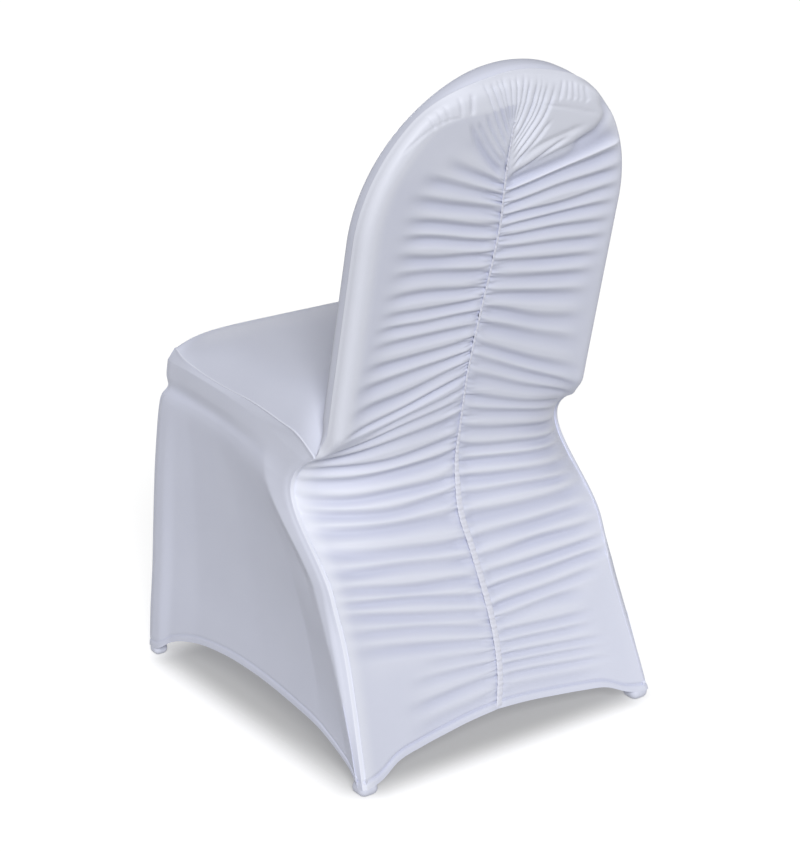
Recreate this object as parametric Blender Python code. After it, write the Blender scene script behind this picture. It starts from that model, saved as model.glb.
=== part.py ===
"""Stretch cover for a round-backed stacking chair, seen as it stands on the chair.

Metres, +Z up. The chair inside is left out. Its front faces -Y and the sitter's left is +X.
Heights in this file are above the floor. One empty lowers the whole cover, so that the point
under the crown where the chair's back holds it up lies at the origin.
"""

import math

import bpy
import numpy as np

PART = "spandex_chair_cover"

# Cloth
CLOTH = 0.002            # thickness of every sheet
GAP = 0.0003             # left between two pieces that meet in a seam

# The chair's back, as an arch of straight sides and a half circle that leans backwards
HEIGHT = 0.9190          # top of the arch
ARCH = 0.2075            # radius of the half circle, half the width of the back
SPRING = HEIGHT - ARCH   # where the sides end and the half circle starts
RIM = 0.0352             # depth of the rim, from the rear face to the front face's corner
WAIST_Y = 0.1415         # the back is furthest forward at the waist
WAIST_Z = 0.371
LEAN_UP = 0.228          # metres back for each metre up, above the waist
LEAN_DOWN = 0.297        # metres back for each metre down, below the waist
WAIST_SOFT = 0.006       # how gently one lean turns into the other

# Where the back meets the seat
NOTCH = 0.416            # height of the notch that the cloth is drawn into
PAD_BOTTOM = 0.452       # the rim has its full form above this
LEG_TOP = 0.406          # the seam down the rear leg starts here

# Foot pockets: word, sideways, depth, half width, corner radius
POCKETS = (
    ("rear", 0.2312, 0.2522, 0.0145, 0.010),
    ("front", 0.2344, -0.2592, 0.0110, 0.008),
)
POCKET_TOP = 0.012
HEM_AT_LEG = POCKET_TOP + GAP

# Rear leg seam, close to the leg's outer corner: height, half width, depth, half width at the corner
REAR_SEAM = (
    (HEM_AT_LEG, 0.2428, 0.2638, 0.2428),
    (0.058, 0.2388, 0.2474, 0.2404),
    (0.118, 0.2322, 0.2243, 0.2372),
    (0.185, 0.2268, 0.1972, 0.2326),
    (0.244, 0.2276, 0.1728, 0.2284),
    (LEG_TOP, 0.2160, 0.1054, 0.2160),
)
CORNER_LONG = 0.0071     # a leg's rounded corner, from its seam to where the flat begins
CORNER_SHORT = 0.0029
CORNER_STEPS = ((1.0, 1.0), (0.62, 0.86), (0.28, 0.52), (0.0, 0.0))

# Where the chair's back holds the cover up, under the crown
HOLD = (0.0, 0.243, 0.914)

# The edge of the back pieces through the notch, as far as the rim's full form
EDGE_TURN = (
    (LEG_TOP, 0.2160, 0.1054),
    (NOTCH, 0.2135, 0.1215),
    (0.432, 0.2095, 0.1300),
)

# The centre seam wanders sideways: height, sideways
SEAM_WANDER = (
    (0.000, 0.002), (0.045, 0.003), (0.080, -0.010), (0.128, -0.014), (0.170, -0.012),
    (0.228, -0.004), (0.260, 0.001), (0.308, 0.011), (0.350, 0.006), (0.400, 0.005),
    (0.500, 0.008), (0.587, 0.003), (0.646, -0.002), (0.706, -0.006), (0.752, -0.002),
    (0.800, 0.000), (1.000, 0.000),
)

# Ruched folds, from the hem up, one row for each valley. The run up the edge is the height as far
# as the spring of the arch, and then goes on round the arch. The reach is how far across the piece
# the fold goes: 1 is the rim and 1.3 the front seam.
# height at the centre seam, run up the edge, depth, reach
FOLDS_LEFT = (
    (0.068, 0.062, 0.0015, 0.55), (0.089, 0.092, 0.0018, 0.60), (0.105, 0.122, 0.0018, 0.55),
    (0.119, 0.150, 0.0015, 0.45), (0.134, 0.180, 0.0022, 0.92), (0.153, 0.201, 0.0022, 0.95),
    (0.173, 0.222, 0.0025, 0.95), (0.195, 0.237, 0.0028, 0.95), (0.220, 0.254, 0.0028, 0.95),
    (0.247, 0.274, 0.0028, 0.95), (0.272, 0.296, 0.0028, 0.95), (0.306, 0.317, 0.0032, 0.95),
    (0.334, 0.336, 0.0032, 0.95), (0.358, 0.355, 0.0032, 0.95), (0.392, 0.380, 0.0035, 0.95),
    (0.419, 0.400, 0.0030, 0.95), (0.450, NOTCH, 0.0035, 0.98), (0.474, 0.430, 0.0030, 0.98),
    (0.500, 0.450, 0.0045, 0.95), (0.519, 0.482, 0.0040, 0.92), (0.535, 0.516, 0.0045, 0.90),
    (0.553, 0.546, 0.0045, 0.86), (0.572, 0.573, 0.0040, 0.82), (0.590, 0.595, 0.0045, 0.80),
    (0.608, 0.618, 0.0045, 0.78), (0.626, 0.643, 0.0045, 0.78), (0.648, 0.672, 0.0045, 0.76),
    (0.669, 0.702, 0.0050, 0.74), (0.687, 0.730, 0.0050, 0.72), (0.707, 0.758, 0.0050, 0.72),
    (0.730, 0.789, 0.0045, 0.74), (0.749, 0.824, 0.0045, 0.70), (0.764, 0.865, 0.0035, 0.60),
    (0.781, 0.925, 0.0035, 0.90), (0.806, 0.963, 0.0030, 1.15), (0.822, 0.984, 0.0030, 1.15),
    (0.834, 1.006, 0.0030, 1.15),
)
FOLDS_RIGHT = (
    (0.070, 0.050, 0.0012, 0.70), (0.086, 0.066, 0.0018, 0.75), (0.100, 0.080, 0.0018, 0.70),
    (0.113, 0.096, 0.0020, 0.75), (0.127, 0.114, 0.0020, 0.70), (0.143, 0.134, 0.0022, 0.72),
    (0.160, 0.164, 0.0022, 0.70), (0.177, 0.186, 0.0028, 0.85), (0.201, 0.206, 0.0030, 0.98),
    (0.222, 0.224, 0.0030, 0.98), (0.245, 0.245, 0.0030, 0.95), (0.270, 0.267, 0.0032, 0.95),
    (0.304, 0.290, 0.0032, 0.95), (0.336, 0.310, 0.0032, 0.92), (0.361, 0.329, 0.0032, 0.90),
    (0.384, 0.345, 0.0032, 0.90), (0.414, 0.364, 0.0035, 0.90), (0.440, 0.383, 0.0030, 0.90),
    (0.463, 0.399, 0.0032, 0.92), (0.492, NOTCH, 0.0035, 0.95), (0.517, 0.434, 0.0035, 0.95),
    (0.538, 0.460, 0.0040, 0.92), (0.567, 0.498, 0.0042, 0.86), (0.594, 0.540, 0.0045, 0.86),
    (0.616, 0.582, 0.0045, 0.86), (0.638, 0.613, 0.0045, 0.88), (0.659, 0.638, 0.0045, 0.90),
    (0.676, 0.663, 0.0045, 0.92), (0.692, 0.687, 0.0045, 0.94), (0.705, 0.711, 0.0048, 0.96),
    (0.719, 0.736, 0.0048, 0.96), (0.734, 0.763, 0.0050, 0.98), (0.751, 0.795, 0.0060, 1.02),
    (0.768, 0.835, 0.0065, 1.05), (0.789, 0.893, 0.0040, 0.95), (0.808, 0.942, 0.0045, 1.18),
    (0.824, 0.986, 0.0050, 1.20),
)
SEAM_HEM = 0.045         # height of the hem at the centre seam
SEAM_TOP = 0.845         # above this the folds fan out to the arch
STEPS_A_FOLD = 3         # rows of faces for each fold

# Columns across half of the back: to the rim, then over it to the front seam
FACE_COLUMNS = (0.0, 0.08, 0.22, 0.40, 0.58, 0.76, 0.90, 1.0)
RIM_COLUMNS = (1.1, 1.2, 1.3)
HEM_REAR = (1.0, 0.98, 0.92, 0.80, 0.68, 0.51, 0.10, 0.0)    # share of the hem's rise at each column
BOW_FOOT = 2.2                           # the rear face bows to its edges by these powers
BOW_TOP = 4.0
FOLD_AT_SEAM = 0.6                       # share of a fold's depth at the centre seam
FOLD_FULL = 0.12                         # column by which a fold has its full depth
FOLD_FADE = 0.10                         # a fold fades over this much on both sides of its reach

# Rim section, as pairs: in from the outline, forward of the rear face. The back piece goes from the
# rear face to the front seam, and the front piece goes on from the seam to its corner.
SIDE_RIM = ((0.010, 0.000), (0.0028, 0.0028), (0.0, 0.0105), (0.0, 0.0190))
TOP_RIM = ((0.050, 0.000), (0.0300, 0.0030), (0.0190, 0.0075), (0.0095, 0.0125))
SIDE_CORNER = ((0.0015, RIM), (0.0, 0.0275))
TOP_CORNER = ((0.0, RIM), (0.0035, 0.0200))
TOP_RIM_FROM = math.radians(45)
TOP_RIM_TO = math.radians(80)

# Top seam of the side piece, from the seat's front corner to the notch: depth, half width, height
SEAT_SEAM = (
    (-0.225, 0.2085, 0.4700), (-0.205, 0.2118, 0.4640), (-0.158, 0.2135, 0.4565),
    (-0.094, 0.2142, 0.4520), (-0.017, 0.2145, 0.4505), (0.0430, 0.2150, 0.4440),
    (0.090, 0.2150, 0.4355), (0.1215, 0.2135, NOTCH),
)

# Side piece, a row for each level from the hem to the seat seam
# front corner seam: half width, depth, height; height on the rear leg; drawn in; hem lift
SIDE_ROWS = (
    (0.2431, -0.2679, HEM_AT_LEG, HEM_AT_LEG, 0.015, 0.054),
    (0.2408, -0.2660, 0.070, 0.058, 0.016, 0.026),
    (0.2372, -0.2622, 0.135, 0.118, 0.016, 0.008),
    (0.2350, -0.2577, 0.210, 0.185, 0.014, 0.0),
    (0.2335, -0.2505, 0.290, 0.258, 0.011, 0.0),
    (0.2302, -0.2448, 0.355, 0.318, 0.007, 0.0),
    (0.2275, -0.2412, 0.388, 0.352, 0.004, 0.0),
    (0.2235, -0.2400, 0.402, 0.370, 0.003, 0.0),
    (0.2145, -0.2380, 0.413, 0.386, 0.001, 0.0),
    (0.2158, -0.2385, 0.430, 0.398, -0.001, 0.0),
    (0.2150, -0.2350, 0.452, LEG_TOP, -0.001, 0.0),
)
LEG_COLUMNS = (0.0071, 0.026, 0.046)     # distances in from the front corner seam
LEG_DRAWN = (0.0, 0.05, 0.45)            # share of the drawing in at each
MIDDLE_COLUMNS = (0.14, 0.32, 0.50, 0.68, 0.86)
MIDDLE_DRAWN = (0.90, 1.0, 1.0, 0.80, 0.50)
MIDDLE_PROUD = (0.0, 0.0, 0.0, 0.20, 0.45)       # share of the rear band's standing out at each
HEM_SIDE = (0.0, 0.08, 0.34, 0.77, 0.98, 1.0, 0.92, 0.75, 0.34, 0.07, 0.0)   # share of the hem lift

# The cloth stands proud along the rear leg, and a crease parts this band from the panel
# height on the rear leg, the band's width, how far its crease stands out
REAR_BAND = (
    (HEM_AT_LEG, 0.0090, 0.0), (0.058, 0.0090, 0.0), (0.118, 0.0100, 0.0008),
    (0.185, 0.0180, 0.0025), (0.258, 0.0265, 0.0045), (0.318, 0.0355, 0.0060),
    (0.352, 0.0440, 0.0060), (0.370, 0.0500, 0.0050), (0.386, 0.0600, 0.0030),
    (0.398, 0.0750, 0.0010), (LEG_TOP, 0.0850, 0.0),
)
PAST_BAND = 0.022                        # the column after the crease
ROW_BEND = 2.5                           # power by which a row's height runs from front to rear

# Front piece: centre of each row of the skirt and cushion, depth and height
SKIRT_CENTRE = (
    (-0.2620, 0.066), (-0.2600, 0.098), (-0.2570, 0.150), (-0.2530, 0.215), (-0.2480, 0.290),
    (-0.2430, 0.355), (-0.2400, 0.388), (-0.2380, 0.402), (-0.2360, 0.413), (-0.2420, 0.432),
    (-0.2410, 0.456),
)
SKIRT_BOW = 2.0                          # powers by which a row's centre bends to its edges
SEAT_BOW = (6.0, 9.0)
NOTCH_BOW = 5.0
BACKREST_BOW = 4.0
SEAT_FRONT = (-0.2320, 0.4830)
SEAT_CROWN = 0.4905
SEAT_BACK = (0.1190, 0.4780)
SEAT_RISE = 0.12                         # shares of the seat's depth: up to the crown, and down again
SEAT_FALL = 0.85
BACK_PAD = 0.010                         # how far the back's front face swells forward
PAD_HEIGHTS = (0.46, 0.53)               # it has all of its swell above these heights
FRONT_COLUMNS = (0.0, 0.34, 0.62, 0.83, 0.95)
CORNER_COLUMNS = (0.975, 0.99)           # the back's front corner and rim; here where there is none
BACKREST_RUNS = (0.470, 0.510, 0.550, 0.590, 0.630, 0.670)
BACKREST_ARCH = (0.0, 0.08, 0.16, 0.24, 0.32, 0.40, 0.48, 0.56, 0.65, 0.75, 0.87, 1.0)
BACKREST_START = 0.490                   # centre height of its lowest row
BACKREST_END = 0.800                     # centre height where the rows close at the crown

# Tape over the centre seam
TAPE_WIDE = 0.0080
TAPE_NARROW = 0.0045
TAPE_THICK = 0.0012
TAPE_STEP = 0.011
TAPE_CHANGE = (0.34, 0.48)               # it narrows between these heights
TAPE_TOP = 0.72                          # width of its upper side, as a share of the lower
TAPE_CLEAR = 0.0004                      # left between the tape and the cloth

CLOTH_WHITE = (0.80, 0.80, 0.87)
TAPE_WHITE = (0.84, 0.84, 0.90)
CLOTH_ROUGH = 0.45
TAPE_ROUGH = 0.55


def smooth(low, high, value):
    """0 below low, 1 above high, and a soft step between."""
    t = min(1.0, max(0.0, (value - low) / (high - low)))
    return t * t * (3 - 2 * t)


def mix(a, b, t):
    return np.asarray(a, float) * (1 - t) + np.asarray(b, float) * t


def table(rows, value, column):
    """One column of a table of rows, read between its rows by the first column."""
    return float(np.interp(value, [r[0] for r in rows], [r[column] for r in rows]))


def face_y(z):
    """Depth of the back's rear face: two leans that meet softly at the waist."""
    up = LEAN_UP * (z - WAIST_Z)
    down = LEAN_DOWN * (WAIST_Z - z)
    return WAIST_Y + (up + down) / 2 + math.hypot((up - down) / 2, WAIST_SOFT)


def seam_x(z):
    """The centre seam's wander, rounded off by averaging a stretch of the table."""
    return float(np.mean([table(SEAM_WANDER, z + d, 1) for d in np.linspace(-0.02, 0.02, 9)]))


def rim_section(run, side_pairs, top_pairs):
    """Points of the rim at a run up the edge: small corners at the sides, a long slope on top."""
    angle = max(0.0, (run - SPRING) / ARCH)
    on_top = smooth(TOP_RIM_FROM, TOP_RIM_TO, angle)
    points = []
    for low, high in zip(side_pairs, top_pairs):
        inset, forward = mix(low, high, on_top)
        z = min(run, SPRING) + (ARCH - inset) * math.sin(angle)
        points.append(np.array([(ARCH - inset) * math.cos(angle), face_y(z) - forward, z]))
    return points


def edge_point(run):
    """Front seam of the rim above the notch, rear leg seam below it."""
    if run >= PAD_BOTTOM:
        return rim_section(run, SIDE_RIM[-1:], TOP_RIM[-1:])[0]
    if run >= LEG_TOP:
        end = edge_point(PAD_BOTTOM)
        rows = EDGE_TURN + ((PAD_BOTTOM, end[0], end[1]),)
    else:
        rows = REAR_SEAM
    return np.array([table(rows, run, 1), table(rows, run, 2), run])


def rim_points(run):
    """Points from the rear face over the rim to the seam, for the sitter's left."""
    edge = edge_point(run)
    corner = [edge + np.array([-a * CORNER_LONG, b * CORNER_SHORT, 0]) for a, b in CORNER_STEPS]
    full = smooth(LEG_TOP, PAD_BOTTOM, run)
    points = [mix(a, b, full) for a, b in zip(corner, rim_section(run, SIDE_RIM, TOP_RIM))]
    points[-1] = edge
    return points


def fold_rows(folds):
    """Every row of faces up half of the back: seam height, run, depth of the fold, reach."""
    rows = [(SEAM_HEM, HEM_AT_LEG, 0.0, 0.5)]
    first = folds[0]
    rows.append(((SEAM_HEM + first[0]) / 2, (HEM_AT_LEG + first[1]) / 2, 0.0, first[3]))
    last = (SEAM_TOP, SPRING + ARCH * math.pi / 2, 0.0, 1.0)
    for low, high in zip(folds, folds[1:] + (last,)):
        for step in range(STEPS_A_FOLD):
            t = step / STEPS_A_FOLD
            near = low if t < 0.5 else high
            valley = (1 + math.cos(2 * math.pi * t)) / 2
            seam, run = mix(low[:2], high[:2], t)
            rows.append((seam, run, near[2] * valley, near[3]))
    rows.append(last)
    return rows


def fold_weight(column, reach):
    """How much of a fold's depth is left at a column: less at the seam, none past its reach."""
    if column >= RIM_COLUMNS[-1]:
        return 0.0
    risen = FOLD_AT_SEAM + (1 - FOLD_AT_SEAM) * smooth(0.0, FOLD_FULL, column)
    return risen * (1 - smooth(reach - FOLD_FADE, reach + FOLD_FADE, column))


def grid_faces(rows, columns, flip, start=0):
    faces = []
    for i in range(rows - 1):
        for j in range(columns - 1):
            a = start + i * columns + j
            quad = (a, a + 1, a + columns + 1, a + columns)
            faces.append(quad[::-1] if flip else quad)
    return faces


def zip_faces(points, low, high, flip):
    """Triangles between two lines of points of unlike counts that run the same way."""
    def spread(line):
        steps = [np.linalg.norm(points[b] - points[a]) for a, b in zip(line, line[1:])]
        return np.concatenate([[0], np.cumsum(steps)]) / sum(steps)

    s, t = spread(low), spread(high)
    faces = []
    i = j = 0
    while i < len(low) - 1 or j < len(high) - 1:
        if j == len(high) - 1 or (i < len(low) - 1 and s[i + 1] <= t[j + 1]):
            face = (low[i], high[j], low[i + 1])
            i += 1
        else:
            face = (low[i], high[j], high[j + 1])
            j += 1
        faces.append(face[::-1] if flip else face)
    return faces


def surface_normals(points, faces):
    normals = np.zeros_like(points)
    for face in faces:
        p = points[list(face)]
        n = np.cross(p[2] - p[0], p[-1] - p[1])
        for k in face:
            normals[k] += n
    return normals / np.linalg.norm(normals, axis=1)[:, None]


def back_half(side, folds):
    """Half of the ruched back: rows from the centre seam to the edge, folds pressed into them."""
    rows = fold_rows(folds)
    columns = FACE_COLUMNS + RIM_COLUMNS
    points = []
    for number, (seam, run, _, _) in enumerate(rows):
        centre = np.array([seam_x(seam), face_y(seam), seam])
        over = [p * (side, 1, 1) for p in rim_points(run)]
        rim = over[0]
        proud = rim[1] - face_y(rim[2])
        power = BOW_FOOT + (BOW_TOP - BOW_FOOT) * smooth(0.0, LEG_TOP, run)
        for q, share in zip(FACE_COLUMNS, HEM_REAR):
            x, _, z = mix(centre, rim, q)
            if number == 0:
                z = rim[2] + (centre[2] - rim[2]) * share
            points.append((x, face_y(z) + proud * q ** power, z))
        points += over[1:]
    points = np.array(points)
    faces = grid_faces(len(rows), len(columns), side > 0)
    normals = surface_normals(points, faces)
    middle = set()
    for i, (_, _, depth, reach) in enumerate(rows):
        for j, column in enumerate(columns):
            k = i * len(columns) + j
            if j == 0 or i == len(rows) - 1:
                middle.add(k)
                normals[k][0] = 0
            points[k] -= normals[k] * depth * fold_weight(column, reach)
    edge = [i * len(columns) + len(columns) - 1 for i in range(len(rows))]
    return points, faces, middle, [points[k] for k in edge], [r[1] for r in rows]


def side_columns(length, height, drawn):
    """Columns of a row of the side piece: distance from the front seam, and how far out it stands."""
    band, proud = table(REAR_BAND, height, 1), table(REAR_BAND, height, 2)
    leg = CORNER_SHORT + table(REAR_SEAM, height, 3) - table(REAR_SEAM, height, 1)
    columns = [(d, CORNER_SHORT - drawn * w) for d, w in zip(LEG_COLUMNS, LEG_DRAWN)]
    start, stop = LEG_COLUMNS[-1], length - band - PAST_BAND
    for share, weight, out in zip(MIDDLE_COLUMNS, MIDDLE_DRAWN, MIDDLE_PROUD):
        outward = CORNER_SHORT - drawn * weight + proud * out
        columns.append((start + (stop - start) * share, outward))
    columns.append((stop, leg - drawn * 0.25 + proud * 0.72))
    columns.append((length - band, leg + proud))
    columns.append((length - CORNER_LONG, leg + proud * CORNER_LONG / band))
    return columns


def side_piece(side, edge, runs):
    """Side of the cushion, skirt and rear leg, from the hem to the seat seam."""
    points = []
    columns = 2 * len(LEG_COLUMNS) + len(MIDDLE_COLUMNS) + 1
    seam_front = np.array(SEAT_SEAM[0])[[1, 0, 2]]
    rows = list(SIDE_ROWS)
    for number in range(len(rows) + 1):
        on_seam = number == len(rows)
        if on_seam:
            front, rear = seam_front, edge_point(NOTCH)
            drawn = lift = 0.0
        else:
            front = np.array(rows[number][:3])
            rear = edge_point(rows[number][3])
            drawn, lift = rows[number][4:]
        length = rear[1] - front[1]
        points.append(front)
        for (distance, outward), hem in zip(side_columns(length, rear[2], drawn), HEM_SIDE):
            share = distance / length
            y = front[1] + distance
            if on_seam:
                points.append((table(SEAT_SEAM, y, 1), y, table(SEAT_SEAM, y, 2)))
                continue
            x = front[0] + (rear[0] - front[0]) * share + outward
            z = front[2] + (rear[2] - front[2]) * share ** ROW_BEND
            z += lift * (hem if number == 0 else 1 - abs(2 * share - 1) ** ROW_BEND)
            points.append((x, y, z))
    faces = grid_faces(len(rows) + 1, columns, side < 0)
    points = np.array(points, float) * (side, 1, 1)
    leg = [p for p, run in zip(edge, runs) if run <= NOTCH + 1e-9]
    start = len(points)
    points = np.vstack([points, leg])
    inner = [i * columns + columns - 1 for i in range(len(rows) + 1)]
    outer = list(range(start, start + len(leg)))
    faces += zip_faces(points, inner, outer, side < 0)
    seam = [points[len(rows) * columns + j] for j in range(columns)] + [leg[-1]]
    corner = [points[i * columns] for i in range(len(rows) + 1)]
    return points, faces, seam, corner


def front_rows(seam, corner):
    """Rows of the front piece: depth and height of the centre, edge point, bow, run up the back."""
    rows = []
    for edge_at, centre in zip(corner[:-1], SKIRT_CENTRE):
        rows.append((centre, edge_at, SKIRT_BOW, None))
    for at in seam[:-1]:
        share = (at[1] - seam[0][1]) / (seam[-1][1] - seam[0][1])
        y = SEAT_FRONT[0] + (SEAT_BACK[0] - SEAT_FRONT[0]) * share
        rise = smooth(0.0, SEAT_RISE, share)
        fall = smooth(SEAT_FALL, 1.0, share)
        z = SEAT_FRONT[1] + (SEAT_CROWN - SEAT_FRONT[1]) * rise + (SEAT_BACK[1] - SEAT_CROWN) * fall
        rows.append(((y, z), at, SEAT_BOW[0] + (SEAT_BOW[1] - SEAT_BOW[0]) * rise, None))
    rows.append((SEAT_BACK, seam[-1], NOTCH_BOW, None))
    first = len(rows) - 1
    for run in BACKREST_RUNS:
        share = (run - BACKREST_RUNS[0]) / (SPRING - BACKREST_RUNS[0])
        z = BACKREST_START + (SPRING - BACKREST_START) * share
        pad = BACK_PAD * smooth(*PAD_HEIGHTS, z)
        rows.append(((face_y(z) - RIM - pad, z), None, BACKREST_BOW, run))
    for share in BACKREST_ARCH:
        z = SPRING + (BACKREST_END - SPRING) * share
        run = SPRING + ARCH * math.pi / 2 * share
        rows.append(((face_y(z) - RIM - BACK_PAD, z), None, BACKREST_BOW, run))
    return rows, first


def cushion_row(centre, at, power, level_from):
    """A row of the skirt or the seat. From the column level_from on, it is level with its edge."""
    points = []
    for q in FRONT_COLUMNS + CORNER_COLUMNS:
        _, y, z = mix((0.0, *centre), at, min(1.0, q / level_from) ** power)
        points.append((at[0] * q, y, z))
    return points


def backrest_row(centre, power, run, side):
    """A row of the back's front face: it follows the lean, swells in the middle and turns the corner."""
    rim = [p * (side, 1, 1) for p in rim_section(run, SIDE_CORNER, TOP_CORNER)]
    swell = face_y(centre[1]) - RIM - centre[0]
    points = []
    for q in FRONT_COLUMNS:
        z = centre[1] + (rim[0][2] - centre[1]) * q
        points.append((rim[0][0] * q, face_y(z) - RIM - swell * (1 - q ** power), z))
    return points + rim


def front_half(side, seam, corner, edge, runs):
    """Half of the front piece: skirt, cushion front, seat and the front of the back."""
    rows, first = front_rows(seam, corner)
    points = []
    for number, (centre, at, power, run) in enumerate(rows):
        if run is None:
            points += cushion_row(centre, at, power, FRONT_COLUMNS[-1] if number == 0 else 1.0)
        else:
            points += backrest_row(centre, power, run, side)
    columns = len(FRONT_COLUMNS + CORNER_COLUMNS)
    faces = grid_faces(len(rows), columns, side < 0)
    line = list(corner[:-1]) + list(seam[:-1])
    line += [p for p, run in zip(edge, runs) if run >= NOTCH - 1e-9]
    start = len(points)
    points = np.vstack([points, line])
    inner = [i * columns + columns - 1 for i in range(len(rows))]
    outer = list(range(start, start + len(line)))
    faces += zip_faces(points, inner[:first + 1], outer[:first + 1], side < 0)
    faces += zip_faces(points, inner[first:], outer[first:], side < 0)
    return points, faces


def weld(points, faces):
    """One point for each place, with the faces that use it."""
    place, keep, new = {}, [], []
    for p in points:
        key = tuple(np.round(p, 6))
        if key not in place:
            place[key] = len(keep)
            keep.append(p)
        new.append(place[key])
    welded = []
    for face in faces:
        loop = [new[k] for k in face]
        loop = [k for n, k in enumerate(loop) if k != loop[n - 1]]
        if len(loop) > 2:
            welded.append(tuple(loop))
    return np.array(keep), welded


def shared_normals(pieces):
    """Normals of the whole cover, so that two pieces agree about the seam between them."""
    place, places, faces = {}, [], []
    for points, own, _ in pieces.values():
        keys = [tuple(np.round(p, 5)) for p in points]
        for key, p in zip(keys, points):
            if key not in place:
                place[key] = len(places)
                places.append(p)
        faces += [tuple(place[keys[k]] for k in face) for face in own]
    normals = surface_normals(np.array(places), faces)
    return {key: normals[n] for key, n in place.items()}


def thicken(points, faces, middle, normals, side):
    """A sheet from a skin: each edge drawn back by half a gap, a second skin inside, and walls.

    A wall is split along the same diagonal in both pieces that meet at it, so they can't cross.
    """
    n = np.array([normals[tuple(np.round(p, 5))] for p in points])
    directed = {}
    for face in faces:
        p = points[list(face)]
        up = np.cross(p[2] - p[0], p[-1] - p[1])
        for a, b in zip(face, face[1:] + face[:1]):
            directed[(a, b)] = up / np.linalg.norm(up)
    border = [e for e in directed if (e[1], e[0]) not in directed]
    pull = np.zeros_like(points)
    for a, b in border:
        inward = np.cross(directed[(a, b)], points[b] - points[a])
        inward /= np.linalg.norm(inward)
        pull[a] += inward
        pull[b] += inward
    outer = points.copy()
    for k in {k for e in border for k in e}:
        d = pull[k] - n[k] * (pull[k] @ n[k])
        outer[k] += d / np.linalg.norm(d) * GAP / 2
    inner = outer - n * CLOTH
    at_pocket = outer[:, 2] < HEM_AT_LEG + GAP
    inner[at_pocket, 2] = outer[at_pocket, 2]
    for k in middle:
        for skin in (outer, inner):
            skin[k][0] = seam_x(skin[k][2]) + side * GAP / 2
    count = len(points)
    solid = list(faces)
    solid += [tuple(k + count for k in face[::-1]) for face in faces]
    for a, b in border:
        if tuple(np.round(points[a], 5)) < tuple(np.round(points[b], 5)):
            solid += [(b, a, a + count), (b, a + count, b + count)]
        else:
            solid += [(b, a, b + count), (a, a + count, b + count)]
    return np.vstack([outer, inner]), solid


def pocket_outline(half, turn):
    """Rounded square: half its width and the radius of its corners."""
    points = []
    for corner in range(4):
        middle = math.pi / 4 + corner * math.pi / 2
        x = math.copysign(half - turn, math.cos(middle))
        y = math.copysign(half - turn, math.sin(middle))
        for step in (-0.5, 0.0, 0.5):
            angle = middle + step * math.pi / 2
            points.append((x + turn * math.cos(angle), y + turn * math.sin(angle)))
    return points


def foot_pocket(half, turn):
    """A cup of cloth for one foot, open at the top."""
    outer = ((0.0, POCKET_TOP), (0.0, 0.007), (0.0014, 0.0022), (0.0048, 0.0))
    inner = ((0.0060, CLOTH), (CLOTH + 0.0010, 0.0036), (CLOTH, 0.0075), (CLOTH, POCKET_TOP))
    rings = [[(x, y, z) for x, y in pocket_outline(half - inset, turn - inset)]
             for inset, z in outer + inner]
    count = len(rings[0])
    points = [p for ring in rings for p in ring]
    faces = []
    for i in range(len(rings)):
        if i == len(outer) - 1:
            continue
        nxt = (i + 1) % len(rings)
        for j in range(count):
            k = (j + 1) % count
            faces.append((i * count + j, nxt * count + j, nxt * count + k, i * count + k))
    bottom = (len(outer) - 1) * count
    faces.append(tuple(bottom + j for j in reversed(range(count))))
    faces.append(tuple(bottom + count + j for j in range(count)))
    return np.array(points), faces


def seam_tape():
    """A strip over the centre seam, just clear of the crests of the folds."""
    heights = np.arange(SEAM_HEM + 0.003, SEAM_TOP - 0.004, TAPE_STEP)
    points = []
    for z in heights:
        width = TAPE_WIDE + (TAPE_NARROW - TAPE_WIDE) * smooth(*TAPE_CHANGE, z)
        x, y = seam_x(z), face_y(z) + TAPE_CLEAR
        low, high = width / 2, width / 2 * TAPE_TOP
        points += [(x - low, y, z), (x + low, y, z)]
        points += [(x + high, y + TAPE_THICK, z), (x - high, y + TAPE_THICK, z)]
    faces = [(0, 3, 2, 1)]
    for i in range(len(heights) - 1):
        for j in range(4):
            k = (j + 1) % 4
            faces.append((i * 4 + j, i * 4 + k, i * 4 + 4 + k, i * 4 + 4 + j))
    end = (len(heights) - 1) * 4
    faces.append((end, end + 1, end + 2, end + 3))
    return np.array(points), faces


def cloth_material(name, colour, roughness):
    material = bpy.data.materials.new(name)
    material.use_nodes = True
    shader = material.node_tree.nodes["Principled BSDF"]
    shader.inputs["Base Color"].default_value = (*colour, 1.0)
    shader.inputs["Roughness"].default_value = roughness
    shader.inputs["Metallic"].default_value = 0.0
    return material


def add_mesh(name, points, faces):
    mesh = bpy.data.meshes.new(name)
    mesh.from_pydata([tuple(map(float, p)) for p in points], [], faces)
    mesh.validate()
    mesh.shade_smooth()
    mesh.set_sharp_from_angle(angle=math.radians(60))
    return mesh


def add_object(name, mesh, material, collection, parent, place=(0.0, 0.0, 0.0)):
    thing = bpy.data.objects.new(name, mesh)
    thing.location = place
    thing.parent = parent
    collection.objects.link(thing)
    thing.material_slots[0].link = "OBJECT"
    thing.material_slots[0].material = material
    return thing


def build_pieces():
    """The skins of the sewn panels, each with the points along its centre line."""
    pieces = {}
    front_points, front_faces = [], []
    for side, word, folds in ((1, "left", FOLDS_LEFT), (-1, "right", FOLDS_RIGHT)):
        points, faces, middle, edge, runs = back_half(side, folds)
        pieces["back_panel_" + word] = (points, faces, (middle, side))
        points, faces, seam, corner = side_piece(side, edge, runs)
        pieces["side_panel_" + word] = (points, faces, (set(), side))
        points, faces = front_half(side, seam, corner, edge, runs)
        front_faces += [tuple(k + len(front_points) for k in face) for face in faces]
        front_points += list(points)
    points, faces = weld(front_points, front_faces)
    pieces["front_panel"] = (points, faces, (set(), 1))
    return pieces


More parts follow.
